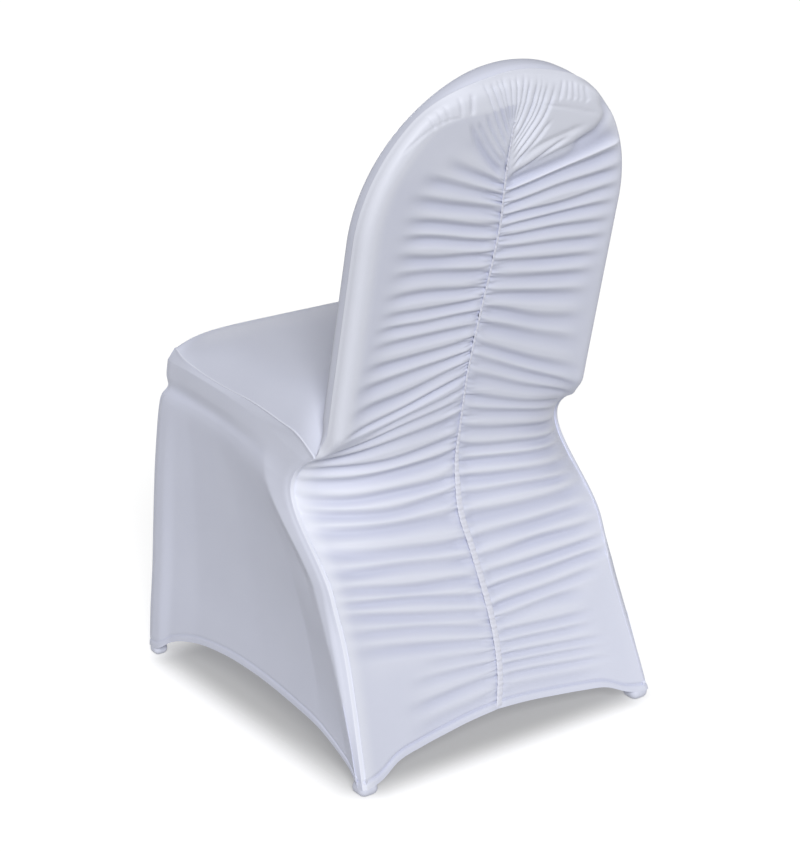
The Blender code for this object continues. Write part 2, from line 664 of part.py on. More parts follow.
def main():
    for thing in list(bpy.data.objects):
        bpy.data.objects.remove(thing, do_unlink=True)
    collection = bpy.data.collections.new(PART)
    bpy.context.scene.collection.children.link(collection)
    hold = bpy.data.objects.new("hold_point", None)
    hold.location = [-v for v in HOLD]
    collection.objects.link(hold)

    pieces = build_pieces()
    normals = shared_normals(pieces)
    for name, (points, faces, (middle, side)) in pieces.items():
        points, faces = thicken(points, faces, middle, normals, side)
        mesh = add_mesh(name, points, faces)
        mesh.materials.append(None)
        add_object(name, mesh, cloth_material(name, CLOTH_WHITE, CLOTH_ROUGH), collection, hold)

    for word, x, y, half, turn in POCKETS:
        points, faces = foot_pocket(half, turn)
        cup = add_mesh("foot_pocket_" + word, points, faces)
        cup.materials.append(None)
        for side, hand in ((1, "left"), (-1, "right")):
            name = f"foot_pocket_{word}_{hand}"
            paint = cloth_material(name, CLOTH_WHITE, CLOTH_ROUGH)
            add_object(name, cup, paint, collection, hold, (side * x, y, 0.0))

    points, faces = seam_tape()
    tape = add_mesh("centre_seam_tape", points, faces)
    tape.materials.append(None)
    add_object("centre_seam_tape", tape, cloth_material("seam_tape", TAPE_WHITE, TAPE_ROUGH),
               collection, hold)


main()
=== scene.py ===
import math
from functools import partial

import bpy
import numpy as np
from mathutils import Matrix, Vector


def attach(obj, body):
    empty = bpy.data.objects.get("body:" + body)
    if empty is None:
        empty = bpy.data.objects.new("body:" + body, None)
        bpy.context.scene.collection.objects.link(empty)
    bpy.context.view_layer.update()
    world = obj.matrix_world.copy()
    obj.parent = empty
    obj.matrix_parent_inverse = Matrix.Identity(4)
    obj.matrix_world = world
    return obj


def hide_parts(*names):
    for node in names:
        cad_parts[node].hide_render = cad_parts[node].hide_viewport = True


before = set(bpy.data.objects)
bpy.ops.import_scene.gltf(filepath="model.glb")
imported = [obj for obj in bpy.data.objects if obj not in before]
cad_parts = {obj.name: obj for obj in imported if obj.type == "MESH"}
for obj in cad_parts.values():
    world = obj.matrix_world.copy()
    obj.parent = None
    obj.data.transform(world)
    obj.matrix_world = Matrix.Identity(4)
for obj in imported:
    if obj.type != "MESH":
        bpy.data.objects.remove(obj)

# A white stretch cover with a round top, a ruched back and a taut skirt. Metres, +Z up, the
# front towards -Y and the sitter's left towards +X. Heights are above the floor until a mesh is
# made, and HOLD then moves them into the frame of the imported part.
HOLD = np.array([0.0, 0.243, 0.914])
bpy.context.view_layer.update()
scene = bpy.context.scene


def thousandths(rows):
    """A table written in millimetres, or in thousandths of a share."""
    return [tuple(value / 1000 for value in row) for row in rows]


def spans(*parts):
    """Even steps over parts (start, stop, count), each from the last one's stop."""
    return np.concatenate([np.linspace(*parts[0])] + [np.linspace(*part)[1:] for part in parts[1:]])


# The cover's back: an arch that leans backwards above the waist and forwards below it
HEIGHT = 0.919
ARCH = 0.2075
SPRING = HEIGHT - ARCH
TOP_RUN = SPRING + ARCH * math.pi / 2
RIM = 0.0352
WAIST_Y = 0.1415
WAIST_Z = 0.371
LEAN_UP = 0.228
LEAN_DOWN = 0.297
WAIST_SOFT = 0.006

# Where the back meets the seat
NOTCH = 0.416
PAD_BOTTOM = 0.452
LEG_TOP = 0.406
HEM_AT_LEG = 0.0123

# Foot pockets: word, sideways, depth, half width, corner radius, side of the flat cut, its area
POCKETS = (
    ("rear", 0.2312, 0.2522, 0.0145, 0.01, 0.046, 0.0019),
    ("front", 0.2344, -0.2592, 0.011, 0.008, 0.037, 0.0013),
)

# Rear leg seam: height, half width, depth, half width at the leg's outer corner
REAR_SEAM = (
    (HEM_AT_LEG, 0.2428, 0.2638, 0.2428), (0.058, 0.2388, 0.2474, 0.2404),
    (0.118, 0.2322, 0.2243, 0.2372), (0.185, 0.2268, 0.1972, 0.2326),
    (0.244, 0.2276, 0.1728, 0.2284), (LEG_TOP, 0.216, 0.1054, 0.216),
)
EDGE_TURN = ((NOTCH, 0.2135, 0.1215), (0.432, 0.2095, 0.13))
CORNER_LONG = 0.0071
CORNER_SHORT = 0.0029
CORNER_STEPS = ((1.0, 1.0), (0.62, 0.86), (0.28, 0.52), (0.0, 0.0))

# The centre seam wanders sideways: height and sideways, in millimetres
SEAM_WANDER = thousandths((
    (0, 2), (45, 3), (80, -10), (128, -14), (170, -12), (228, -4), (260, 1), (308, 11), (350, 6),
    (400, 5), (500, 8), (587, 3), (646, -2), (706, -6), (752, -2), (800, 0), (1000, 0),
))
SEAM_HEM = 0.045
SEAM_TOP = 0.845

# Ruched folds: height at the centre seam, run up the edge and depth in millimetres, and reach
# across the piece in thousandths
FOLDS_LEFT = thousandths((
    (68, 62, 1.5, 550), (89, 92, 1.8, 600), (105, 122, 1.8, 550), (119, 150, 1.5, 450),
    (134, 180, 2.2, 920), (153, 201, 2.2, 950), (173, 222, 2.5, 950), (195, 237, 2.8, 950),
    (220, 254, 2.8, 950), (247, 274, 2.8, 950), (272, 296, 2.8, 950), (306, 317, 3.2, 950),
    (334, 336, 3.2, 950), (358, 355, 3.2, 950), (388, 376, 3.5, 950), (412, 393, 3, 950),
    (443, 409, 3.5, 980), (466, 424, 3, 980), (484, 438, 2.2, 750), (501, 452, 4.5, 950),
    (519, 482, 4, 920), (535, 516, 4.5, 900), (553, 546, 4.5, 860), (572, 573, 4, 820),
    (590, 595, 4.5, 800), (608, 618, 4.5, 780), (626, 643, 4.5, 780), (648, 672, 4.5, 760),
    (669, 702, 5, 740), (687, 730, 5, 720), (707, 758, 5, 720), (730, 789, 4.5, 740),
    (749, 824, 4.5, 700), (764, 865, 3.5, 600), (781, 925, 1.5, 600),
))
FOLDS_RIGHT = thousandths((
    (70, 50, 1.2, 700), (86, 66, 1.8, 750), (100, 80, 1.8, 700), (113, 96, 2, 750),
    (127, 114, 2, 700), (143, 134, 2.2, 720), (160, 164, 2.2, 700), (177, 186, 2.8, 850),
    (201, 206, 3, 980), (222, 224, 3, 980), (245, 245, 3, 950), (270, 267, 3.2, 950),
    (304, 290, 3.2, 950), (329, 303, 2.8, 900), (352, 320, 3.2, 920), (374, 338, 3.2, 900),
    (396, 354, 3.2, 900), (424, 372, 3.5, 900), (450, 391, 3, 900), (473, 407, 3.2, 920),
    (502, 424, 3.5, 950), (527, 443, 3.5, 950), (548, 469, 4, 920), (574, 507, 4.2, 860),
    (597, 545, 4.5, 860), (616, 582, 4.5, 860), (638, 613, 4.5, 880), (659, 638, 4.5, 900),
    (676, 663, 4.5, 920), (692, 687, 4.5, 940), (705, 711, 4.8, 960), (719, 736, 4.8, 960),
    (734, 763, 5, 980), (751, 795, 6, 1020), (768, 835, 6.5, 1050),
))

# Creases of the crown, which fan out from the top of the centre seam: depth, width, and the
# places (sideways, height) that each passes through, all in millimetres
CROWN_CREASES = (
    (2.6, 4.2, (2, 774), (31, 801), (55, 830), (72, 856)),
    (2, 3, (1, 785), (26, 810), (48, 838), (60, 856)),
    (2, 2.2, (1, 797), (18, 817), (36, 842), (50, 866)),
    (2, 2, (1, 808), (19, 835), (34, 862), (48, 892), (54, 905)),
    (2.6, 2.4, (1, 820), (20, 856), (34, 885), (43, 905)),
    (2, 1.8, (1, 830), (16, 862), (27, 890), (34, 908)),
    (2.4, 2, (1, 836), (13, 866), (21, 892), (26, 909)), (1.8, 1.8, (1, 842), (8, 872), (13, 908)),
    (1.8, 1.8, (0, 846), (1, 878), (3, 909)), (1.8, 2, (-2, 842), (-6, 872), (-10, 909)),
    (2.4, 2, (-3, 832), (-12, 860), (-19, 903)),
    (3.2, 2.6, (-3, 816), (-15, 836), (-24, 860), (-31, 902)),
    (2.2, 2, (-3, 808), (-20, 834), (-31, 858), (-39, 899)),
    (3, 2.6, (-4, 800), (-25, 830), (-38, 853), (-48, 896)),
    (2.8, 2.4, (-5, 790), (-34, 826), (-50, 852), (-59, 892)),
    (2.4, 2.6, (-6, 781), (-41, 816), (-60, 842)),
    (2.6, 3.4, (-5, 770), (-36, 783), (-70, 802), (-100, 815)),
    (2.2, 5, (-12, 786), (-45, 806), (-85, 817), (-125, 826)),
    (2, 4.5, (-30, 776), (-60, 788), (-100, 799), (-140, 808)),
    (4.2, 8.5, (-128, 870), (-150, 838), (-143, 814), (-121, 802), (-98, 788)),
    (1.8, 2.4, (-66, 862), (-71, 891)), (1.6, 2.4, (-79, 862), (-80, 889)),
    (1.8, 2.6, (-91, 860), (-88, 887)), (1.4, 2.4, (-101, 858), (-97, 882)),
    (1.8, 3, (-114, 855), (-106, 879)), (2.2, 3.4, (69, 862), (70, 892)),
    (1.4, 2.6, (84, 862), (89, 890)), (1.4, 2.2, (102, 860), (110, 882)),
    (1.4, 2.2, (112, 857), (120, 877)), (1.4, 2.2, (122, 852), (131, 871)),
    (1, 1.6, (168, 824), (150, 840), (126, 855), (102, 862), (76, 863)),
    (0.9, 1.6, (-40, 862), (-93, 850), (-145, 834)),
)
CREASE_STEPS = 24
CREASE_FADE = (0.18, 0.25)  # share of its length over which a crease fades in and out

# How the folds are drawn: slow and quick sway, swell, and the small gathers beside the seam
FOLD_SWAY = (0.1, 0.05)
FOLD_SWELL = 0.2
FOLD_START = 0.3  # share of its depth that a fold has at the seam
SMALL_GATHERS = 8  # of them for each fold
SMALL_REACH = (0.04, 0.26)
SMALL_DEPTH = (0.0004, 0.0012)
SMALL_FAN = 1.5
SMALL_WIDTH = 0.075
FOLD_FLANK = 0.22  # half the short flank of a fold, as a share of the fold
LOW_FOLDS = 1.7  # the folds are this much deeper below the waist
LOW_FOLDS_TO = (0.36, 0.5)

# Rim sections: in from the outline, forward of the rear face
SIDE_RIM = ((0.016, 0.000), (0.0062, 0.003), (0.0014, 0.0098), (0.0, 0.019))
TOP_RIM = ((0.05, 0.000), (0.03, 0.003), (0.019, 0.0075), (0.0095, 0.0125))
SIDE_CORNER = ((0.0015, RIM), (0.0, 0.0275))
TOP_CORNER = ((0.0, RIM), (0.0035, 0.02))
TOP_RIM_FROM = math.radians(45)
TOP_RIM_TO = math.radians(80)
TOP_EDGE = (math.radians(22), math.radians(38))
BOW_FOOT = 2.2
BOW_TOP = 4.0

# Places across the back, from the centre seam, that the turn over its edge passes through
EDGE_KNOTS = (0.76, 0.82, 0.88, 0.94, 1.0, 1.1, 1.2, 1.3)

# Share of the rear hem's rise at each column from the centre seam to the leg
HEM_REAR = ((0.0, 1.0), (0.08, 0.98), (0.22, 0.92), (0.4, 0.8), (0.58, 0.68), (0.76, 0.51), (0.9, 0.1),
            (1.0, 0.0))

# Side piece: front corner seam's half width, depth, height; height on the rear leg; drawn in; hem lift
SIDE_ROWS = (
    (0.2431, -0.2679, HEM_AT_LEG, HEM_AT_LEG, 0.015, 0.054),
    (0.2408, -0.266, 0.07, 0.058, 0.016, 0.026),
    (0.2372, -0.2622, 0.135, 0.118, 0.016, 0.008),
    (0.235, -0.2577, 0.21, 0.185, 0.014, 0.0),
    (0.2335, -0.2505, 0.29, 0.258, 0.011, 0.0),
    (0.2302, -0.2448, 0.355, 0.318, 0.007, 0.0),
    (0.2275, -0.2412, 0.388, 0.352, 0.004, 0.0),
    (0.2235, -0.24, 0.402, 0.37, 0.003, 0.0),
    (0.2145, -0.238, 0.413, 0.386, 0.001, 0.0),
    (0.2158, -0.2385, 0.43, 0.398, -0.001, 0.0),
    (0.215, -0.235, 0.452, LEG_TOP, -0.001, 0.0),
)
SEAT_SEAM = (
    (-0.225, 0.2085, 0.47), (-0.205, 0.2118, 0.464), (-0.158, 0.2135, 0.4565),
    (-0.094, 0.2142, 0.452), (-0.017, 0.2145, 0.4505), (0.043, 0.215, 0.444),
    (0.09, 0.215, 0.4355), (0.1215, 0.2135, NOTCH),
)
LEG_COLUMNS = (0.0071, 0.026, 0.046)
LEG_DRAWN = (0.0, 0.05, 0.45)
MIDDLE_COLUMNS = (0.14, 0.32, 0.5, 0.68, 0.86)
MIDDLE_DRAWN = (0.9, 1.0, 1.0, 0.8, 0.5)
MIDDLE_PROUD = (0.0, 0.0, 0.0, 0.2, 0.45)
SIDE_MARKS = (0.0, 0.02, 0.06, 0.1, 0.22, 0.35, 0.48, 0.62, 0.76, 0.86, 0.92, 0.97, 1.0)
HEM_SIDE = (0.0, 0.0, 0.08, 0.34, 0.77, 0.98, 1.0, 0.92, 0.75, 0.34, 0.07, 0.0, 0.0)
UNDER_CUSHION = 8.3  # row at which the cushion's underside begins
ROW_BEND = 2.5
PAST_BAND = 0.022
REAR_BAND = (
    (HEM_AT_LEG, 0.009, 0.0), (0.058, 0.009, 0.0), (0.118, 0.01, 0.0008),
    (0.185, 0.018, 0.0025), (0.258, 0.0265, 0.0045), (0.318, 0.0355, 0.006),
    (0.352, 0.044, 0.006), (0.37, 0.05, 0.005), (0.386, 0.06, 0.003),
    (0.398, 0.075, 0.001), (LEG_TOP, 0.085, 0.0),
)

# Front piece: centre of each row of the skirt and cushion, depth and height
SKIRT_CENTRE = thousandths((
    (-262, 66), (-260, 98), (-257, 150), (-253, 215), (-248, 290), (-243, 355), (-240, 388),
    (-238, 402), (-236, 413), (-242, 432), (-241, 456),
))
SKIRT_BOW = 2.0
SEAT_BOW = (6.0, 9.0)
NOTCH_BOW = 5.0
BACKREST_BOW = 4.0
SEAT_FRONT = (-0.232, 0.483)
SEAT_CROWN = 0.4905
SEAT_BACK = (0.119, 0.478)
BACK_PAD = 0.01
BACKREST_LOW = 0.47
BACKREST_START = 0.49
BACKREST_END = 0.8

# Fineness of the cloth
CLOTH = 0.0012  # thickness shown
ROW_STEP = 0.0015  # longest step between rows of points at the edge of the back
HEM_ROWS = 36
BACK_COLUMNS = spans((0, 0.12, 10), (0.12, 0.88, 27), (0.88, 1.3, 24))
SIDE_COLUMNS = spans((0, 0.14, 16), (0.14, 0.74, 26), (0.74, 1.0, 46))
FRONT_COLUMNS = spans((0, 0.6, 13), (0.6, 0.95, 22), (0.95, 1.0, 13))
SHARP = math.radians(70)  # edges sharper than this stay sharp

# Seams and hems
SEAM_RISE = 0.001  # the seam allowance lifts the cloth along a seam
SEAM_WIDTH = 0.003
SEAM_SINK = 0.0016  # the tape pulls the cloth in along the centre seam
SEAM_SINK_WIDTH = 0.007
HEM_TURN = 0.01  # depth of the turned-up hem
HEM_RISE = 0.0009
HEM_GROOVE = 0.002
HEM_GROOVE_WIDTH = 0.0023
SIDE_HEM = 0.45  # share of that relief on the sides, where the hem is pulled flat
RIDGE = 0.0012  # radius of the sewn ridge along a seam
RIDGE_SUNK = 0.0004

# Painted shade and painted light on the cloth, by the side of the cover where it has two values
FOLD_SHADE = 0.0028  # depth in a fold that takes the full shade
CREST_LIGHT = 0.45  # share of a fold's depth at which the shade turns into light
RIM_LIGHT = {1: 1.3, -1: 0.2}  # painted light over the rim and the crown
CROWN_LIGHT = {1: 0.4, -1: 1.0}
BAND_LIGHT = 0.2  # painted light over the rear leg and under the cushion
# Painted shade over the rest of the side piece
PANEL_SHADE = 0.15

# The tape over the centre seam
TAPE_WIDTH = (0.0095, 0.0034)  # below the waist and above it
TAPE_STEP = 0.0014
TAPE_ACROSS = np.array([-1.0, -0.7, -0.35, 0.0, 0.35, 0.7, 1.0])
TAPE_EDGE = 0.0002
TAPE_CROWN = 0.0007
TAPE_PROUD = 0.0003
TAPE_RIPPLES = ((0.0004, 0.0062, 0), (0.0003, 0.0107, 1))  # depth, length, start
TAPE_THICKNESS = 0.0006

# Stitches: spacing, length and radius of the thread, and the places of the rows
HEM_STITCH = (0.0032, 0.0023, 0.0002)
TAPE_STITCH = (0.003, 0.0021, 0.00022)
HEM_ROW = 0.8  # share of the hem's depth
TAPE_ROW = 0.62  # share of the tape's half width
TAPE_ROW_STEP = 0.004

# Wall of a foot pocket: in from its outline, and height
POCKET_WALL = thousandths((
    (5, 20.5), (3.4, 18), (2, 15.5), (1, 13), (0.3, 10.5), (0, 8), (0.4, 5.6), (1.6, 3.3),
    (3.6, 1.4), (6.2, 0.4), (9.2, 0),
))
POCKET_BEND = 0.006  # below this height the wall turns in, and its thickness with it
POCKET_CORNER = 0.0012
POCKET_AROUND = 48

# Cloths: colour, painted shade colour for the creases, roughness, width of a wale, height of a course,
# sheen
CLOTH_LOOK = ((0.865, 0.89, 1.0), (0.6, 0.63, 0.8), 0.5, 0.0008, 0.0006, 0.1)
TAPE_LOOK = ((0.9, 0.91, 0.99), (0.66, 0.68, 0.82), 0.6, 0.001, 0.0008, 0.1)
THREAD_LOOK = ((0.84, 0.86, 0.97), (0.7, 0.72, 0.86), 0.45, 0.0004, 0.0003, 0.05)
SHADE_EVEN = 0.42  # shade of the flat cloth, and what a full crease adds
SHADE_CREASE = 0.4
SHADE_RIB = -0.03
CLOUDS = (14.0, 3.0, 0.1)  # scale, detail and strength
LOOP_RELIEF = 0.35
KNIT_BUMP = {"Strength": 0.35, "Distance": 0.0001}
SHEEN_ROUGHNESS = 0.4
CLOTH_IOR = 1.45

# Light: a soft window beside the camera, a weak one in front, an even room, and paper that glows
# a little. Each window: name, strength, softness, azimuth and elevation in degrees
LIGHTS = (("window_light", 2.1, 22, 59, 31), ("front_light", 0.7, 20, -110, 1))
SOFT_LIGHT = 0.27
FLOOR_REACH = 60.0
FLOOR_GLOW = 0.5
PAPER = (0.9, 0.95, 0.1)  # white, roughness and specular level
FOOTPRINT = (0.205, 0.225)  # half width and half depth of the shade under the cover
SHADE_REACH = 0.075
SHADE_FLOOR = 0.46

# Camera, fitted to the photo
CAMERA_AZIMUTH = math.radians(143.76)
CAMERA_HEIGHT = math.radians(20.33)
CAMERA_DISTANCE = 3.1644
CAMERA_TARGET = Vector((-0.0094, 0.0, 0.3749)) - Vector(HOLD)
CAMERA_SENSOR = 36
FOCAL_PIXELS = 2310
VIEW_PIXELS = 852
CAMERA_CLIP = 60

# Runs up the edge at which the sewn ridge is drawn
EDGE_RUNS = spans((HEM_AT_LEG, NOTCH, 130), (NOTCH, TOP_RUN, 260))


def smooth(low, high, value):
    """0 at low, 1 at high, and a soft step between."""
    t = np.clip((np.asarray(value, float) - low) / (high - low), 0, 1)
    return t * t * (3 - 2 * t)


def read(rows, value, number):
    """One column of a table of rows, read between its rows by the first column."""
    return np.interp(value, [r[0] for r in rows], [r[number] for r in rows])


def through(knots, values, at):
    """A soft curve that reaches values[k] at knots[k]."""
    knots, values = np.asarray(knots, float), np.asarray(values, float)
    at = np.clip(np.asarray(at, float), knots[0], knots[-1])
    flat = (-1,) + (1,) * (values.ndim - 1)
    step = np.diff(knots)
    slope = np.diff(values, axis=0) / step.reshape(flat)
    lean = np.concatenate([slope[:1], slope[-1:]])
    if len(step) > 1:
        share = (step[:-1] / (step[:-1] + step[1:])).reshape(flat)
        inner = slope[:-1] * (1 - share) + slope[1:] * share
        lean = np.concatenate([slope[:1], inner, slope[-1:]])
    k = np.clip(np.searchsorted(knots, at, side="right") - 1, 0, len(step) - 1)
    t = ((at - knots[k]) / step[k]).reshape(flat)
    h = step[k].reshape(flat)
    start = (2 * t ** 3 - 3 * t ** 2 + 1) * values[k] + (t ** 3 - 2 * t ** 2 + t) * h * lean[k]
    stop = (3 * t ** 2 - 2 * t ** 3) * values[k + 1] + (t ** 3 - t ** 2) * h * lean[k + 1]
    return start + stop


def face_y(z):
    """Depth of the back's rear face: two leans that meet softly at the waist."""
    up = LEAN_UP * (z - WAIST_Z)
    down = LEAN_DOWN * (WAIST_Z - z)
    return WAIST_Y + (up + down) / 2 + np.hypot((up - down) / 2, WAIST_SOFT)


# A point inside the cover, from which its outer skins face away
INSIDE = np.array([0.0, face_y(0.45) - 0.15, 0.40])


def seam_x(z):
    """The centre seam's wander, rounded off by averaging a stretch of the table."""
    return np.mean([read(SEAM_WANDER, z + d, 1) for d in np.linspace(-0.02, 0.02, 9)], axis=0)


def rim_section(run, side_pairs, top_pairs):
    """Points of the rim at each run up the edge: small corners at the sides, a slope on top."""
    angle = np.maximum(0.0, (run - SPRING) / ARCH)
    on_top = smooth(TOP_RIM_FROM, TOP_RIM_TO, angle)[:, None]
    points = []
    for low, high in zip(side_pairs, top_pairs):
        inset, forward = (np.array(low) * (1 - on_top) + np.array(high) * on_top).T
        z = np.minimum(run, SPRING) + (ARCH - inset) * np.sin(angle)
        points.append(np.stack([(ARCH - inset) * np.cos(angle), face_y(z) - forward, z], axis=1))
    return np.stack(points, axis=1)


def edge_point(run):
    """Front seam of the rim above the notch, rear leg seam below it."""
    run = np.atleast_1d(np.asarray(run, float))
    rim = rim_section(np.maximum(run, PAD_BOTTOM), SIDE_RIM[-1:], TOP_RIM[-1:])[:, 0]
    end = rim_section(np.array([PAD_BOTTOM, PAD_BOTTOM + 0.02]), SIDE_RIM[-1:], TOP_RIM[-1:])[:, 0]
    rows = [(r[0], r[1], r[2]) for r in REAR_SEAM] + list(EDGE_TURN)
    rows += [(p[2], p[0], p[1]) for p in end]
    x, y = through([r[0] for r in rows], [r[1:] for r in rows], run).T
    low = np.stack([x, y, run], axis=1)
    return np.where((run < PAD_BOTTOM)[:, None], low, rim)


def rim_points(run):
    """Points from the rear face over the rim to the seam, for the sitter's left."""
    edge = edge_point(run)
    turn = np.array([(-a * CORNER_LONG, b * CORNER_SHORT, 0) for a, b in CORNER_STEPS])
    corner = edge[:, None] + turn
    full = smooth(LEG_TOP, PAD_BOTTOM, run)[:, None, None]
    points = corner * (1 - full) + rim_section(run, SIDE_RIM, TOP_RIM) * full
    points[:, -1] = edge
    return points


def back_surface(folds):
    """The left half of the back without its folds, and where each row of points lies."""
    knots = [(SEAM_HEM, HEM_AT_LEG)] + [f[:2] for f in folds] + [(SEAM_TOP, TOP_RUN)]
    rows = [np.linspace(0, 1, HEM_ROWS)[:-1]]
    for number, (low, high) in enumerate(zip(knots[1:-1], knots[2:]), 1):
        count = max(10, math.ceil(max(high[0] - low[0], high[1] - low[1]) / ROW_STEP))
        rows.append(number + np.arange(count) / count)
    level = np.concatenate([*rows, [len(knots) - 1]])
    seam, run = through(range(len(knots)), knots, level).T
    over = rim_points(run)
    rim = over[:, 0]
    proud = rim[:, 1] - face_y(rim[:, 2])
    power = BOW_FOOT + (BOW_TOP - BOW_FOOT) * smooth(0.0, LEG_TOP, run)

    def on_face(q):
        x = seam_x(seam) * (1 - q) + rim[:, 0] * q
        straight = seam * (1 - q) + rim[:, 2] * q
        hemmed = rim[:, 2] + (seam - rim[:, 2]) * through(*zip(*HEM_REAR), np.array([q]))[0]
        z = hemmed + (straight - hemmed) * smooth(0.0, 1.0, level)
        return np.stack([x, face_y(z) + proud * q ** power, z], axis=1)

    turn = np.stack([on_face(q) for q in EDGE_KNOTS[:4]] + [over[:, k] for k in range(4)])
    curved = through(EDGE_KNOTS, turn, BACK_COLUMNS)
    flat = np.stack([on_face(q) for q in np.minimum(BACK_COLUMNS, 1.0)])
    slope = through(EDGE_KNOTS[4:], turn[4:], BACK_COLUMNS)
    crisp = np.where((BACK_COLUMNS < 1.0)[:, None, None], flat, slope)
    on_top = smooth(*TOP_EDGE, (run - SPRING) / ARCH)[None, :, None]
    curved = curved * (1 - on_top) + crisp * on_top
    points = np.where((BACK_COLUMNS < 0.88)[:, None, None], flat, curved)
    return points.transpose(1, 0, 2), level


def grid_normals(points):
    """Normals of a grid of points, by the cross of its two directions."""
    along = np.gradient(points, axis=0)
    across = np.gradient(points, axis=1)
    normals = np.cross(across, along)
    return normals / np.maximum(np.linalg.norm(normals, axis=2), 1e-9)[:, :, None]


def run_lengths(points):
    """Metres along the rows and up the columns of a grid of points."""
    across = np.linalg.norm(np.diff(points, axis=1), axis=2)
    along = np.linalg.norm(np.diff(points, axis=0), axis=2)
    u = np.concatenate([np.zeros((len(points), 1)), np.cumsum(across, axis=1)], axis=1)
    v = np.concatenate([np.zeros((1, points.shape[1])), np.cumsum(along, axis=0)], axis=0)
    return u, v


def bump(distance, width):
    """1 at no distance, and a soft fall to 0."""
    return np.exp(-(distance / width) ** 2)


def gather(offset):
    """A hanging fold: a short flank that turns in below each crest, then a long one out again."""
    inward = smooth(FOLD_FLANK, -FOLD_FLANK, offset)
    outward = 1 - smooth(FOLD_FLANK, 1 - FOLD_FLANK, -offset)
    return inward * outward


def crease_depth(creases, x, z):
    """How deep the points (x, z) lie in the listed creases, which fade at both ends."""
    depth = np.zeros_like(x)
    for deep, width, *places in creases:
        knots = np.linspace(0, 1, len(places))
        path = through(knots, np.array(places) / 1000, np.linspace(0, 1, CREASE_STEPS))
        near = np.full(x.shape, 1.0)
        share = np.zeros(x.shape)
        for k in range(CREASE_STEPS - 1):
            start, step = path[k], path[k + 1] - path[k]
            t = np.clip(((x - start[0]) * step[0] + (z - start[1]) * step[1]) / (step @ step), 0, 1)
            away = np.hypot(x - start[0] - t * step[0], z - start[1] - t * step[1])
            closer = away < near
            near = np.where(closer, away, near)
            share = np.where(closer, (k + t) / (CREASE_STEPS - 1), share)
        fade = smooth(0.0, CREASE_FADE[0], share) * smooth(1.0, 1 - CREASE_FADE[1], share)
        depth += deep / 1000 * fade * bump(near, width / 1000)
    return depth


def fold_depth(folds, level, seed):
    """How deep each point of a back piece lies in its ruched folds, and how deep the folds are."""
    draw = np.random.default_rng(seed)
    q = BACK_COLUMNS[None, :]
    depth = np.zeros((len(level), len(BACK_COLUMNS)))
    reached = np.zeros_like(depth)
    for number, (height, _, deep, reach) in enumerate(folds, 1):
        deep = deep * (LOW_FOLDS + (1 - LOW_FOLDS) * smooth(*LOW_FOLDS_TO, height))
        slow, quick = FOLD_SWAY
        sway = draw.uniform(-slow, slow) * np.sin(math.pi * np.minimum(q, 1.0))
        sway += draw.uniform(-quick, quick) * np.sin(3 * math.pi * np.minimum(q, 1.0))
        swell = draw.uniform(-FOLD_SWELL, FOLD_SWELL)
        swell = 1 + swell * np.cos(2 * math.pi * q + draw.uniform(0, 6))
        left = FOLD_START + (1 - FOLD_START) * smooth(0.0, 0.10, q)
        left = left * (1 - smooth(reach - 0.14, reach + 0.12, q))
        left = left * (1 - smooth(1.2, 1.3, q))
        depth += deep * left * swell * gather(level[:, None] - number - sway)
        reached = np.maximum(reached, deep * left * bump(level[:, None] - number, 1.0))
    for _ in range(SMALL_GATHERS * len(folds)):
        at = draw.uniform(0.7, len(folds) + 0.8)
        reach = draw.uniform(*SMALL_REACH)
        deep = draw.uniform(*SMALL_DEPTH)
        fan = draw.uniform(-SMALL_FAN, SMALL_FAN) * q
        depth += deep * (1 - smooth(0, reach, q)) * bump(level[:, None] - at - fan, SMALL_WIDTH)
    return depth, reached


def hem_groove(v):
    """1 along the line where the hem is sewn, and 0 away from it."""
    return bump(v - HEM_TURN, HEM_GROOVE_WIDTH)


def hem_relief(v):
    """The turned-up hem stands a little proud, with a groove where it is sewn."""
    turned = 1 - smooth(HEM_TURN - 0.001, HEM_TURN + 0.001, v)
    return HEM_RISE * turned - HEM_GROOVE * hem_groove(v)


def back_points(folds, side, seed):
    """Half of the ruched back with its folds, hem and seams, its painted shade and light, and its cloth
    coordinates.
    """
    points, level = back_surface(folds)
    if side < 0:
        points[:, :, 0] -= 2 * seam_x(points[:, 0, 2])[:, None] * np.maximum(0, 1 - BACK_COLUMNS)
    normals = grid_normals(points)
    u, v = run_lengths(points)
    folded, reached = fold_depth(folds, level, seed)
    crown = crease_depth(CROWN_CREASES, side * points[:, :, 0], points[:, :, 2])
    crown = crown * (1 - smooth(1.15, 1.3, BACK_COLUMNS))
    folded = folded + crown
    # Painted shade in the valleys of the folds and crown creases, and painted light on their crests
    shaded = (folded - CREST_LIGHT * reached) / FOLD_SHADE
    # Painted light over the rim
    shaded -= RIM_LIGHT[side] * smooth(0.91, 1.02, BACK_COLUMNS)
    # Painted shade along the hem's sewn groove
    shaded += hem_groove(v)
    # Painted light on the crown near the top of the centre seam
    shaded -= CROWN_LIGHT[side] * smooth(SEAM_TOP - 0.07, SEAM_TOP - 0.02, points[:, :, 2])
    rise = hem_relief(v) - folded - SEAM_SINK * bump(u, SEAM_SINK_WIDTH)
    rise += SEAM_RISE * bump(u[:, -1:] - u, SEAM_WIDTH)
    outward = np.sign(np.median(normals[:, :20, 1]))
    points = points + normals * outward * rise[:, :, None]
    points[:, 0, 0] = side * seam_x(points[:, 0, 2])
    points[-1, :, 0] = 0.0
    return points * (side, 1, 1), np.clip(shaded, -1, 1), (u, v)


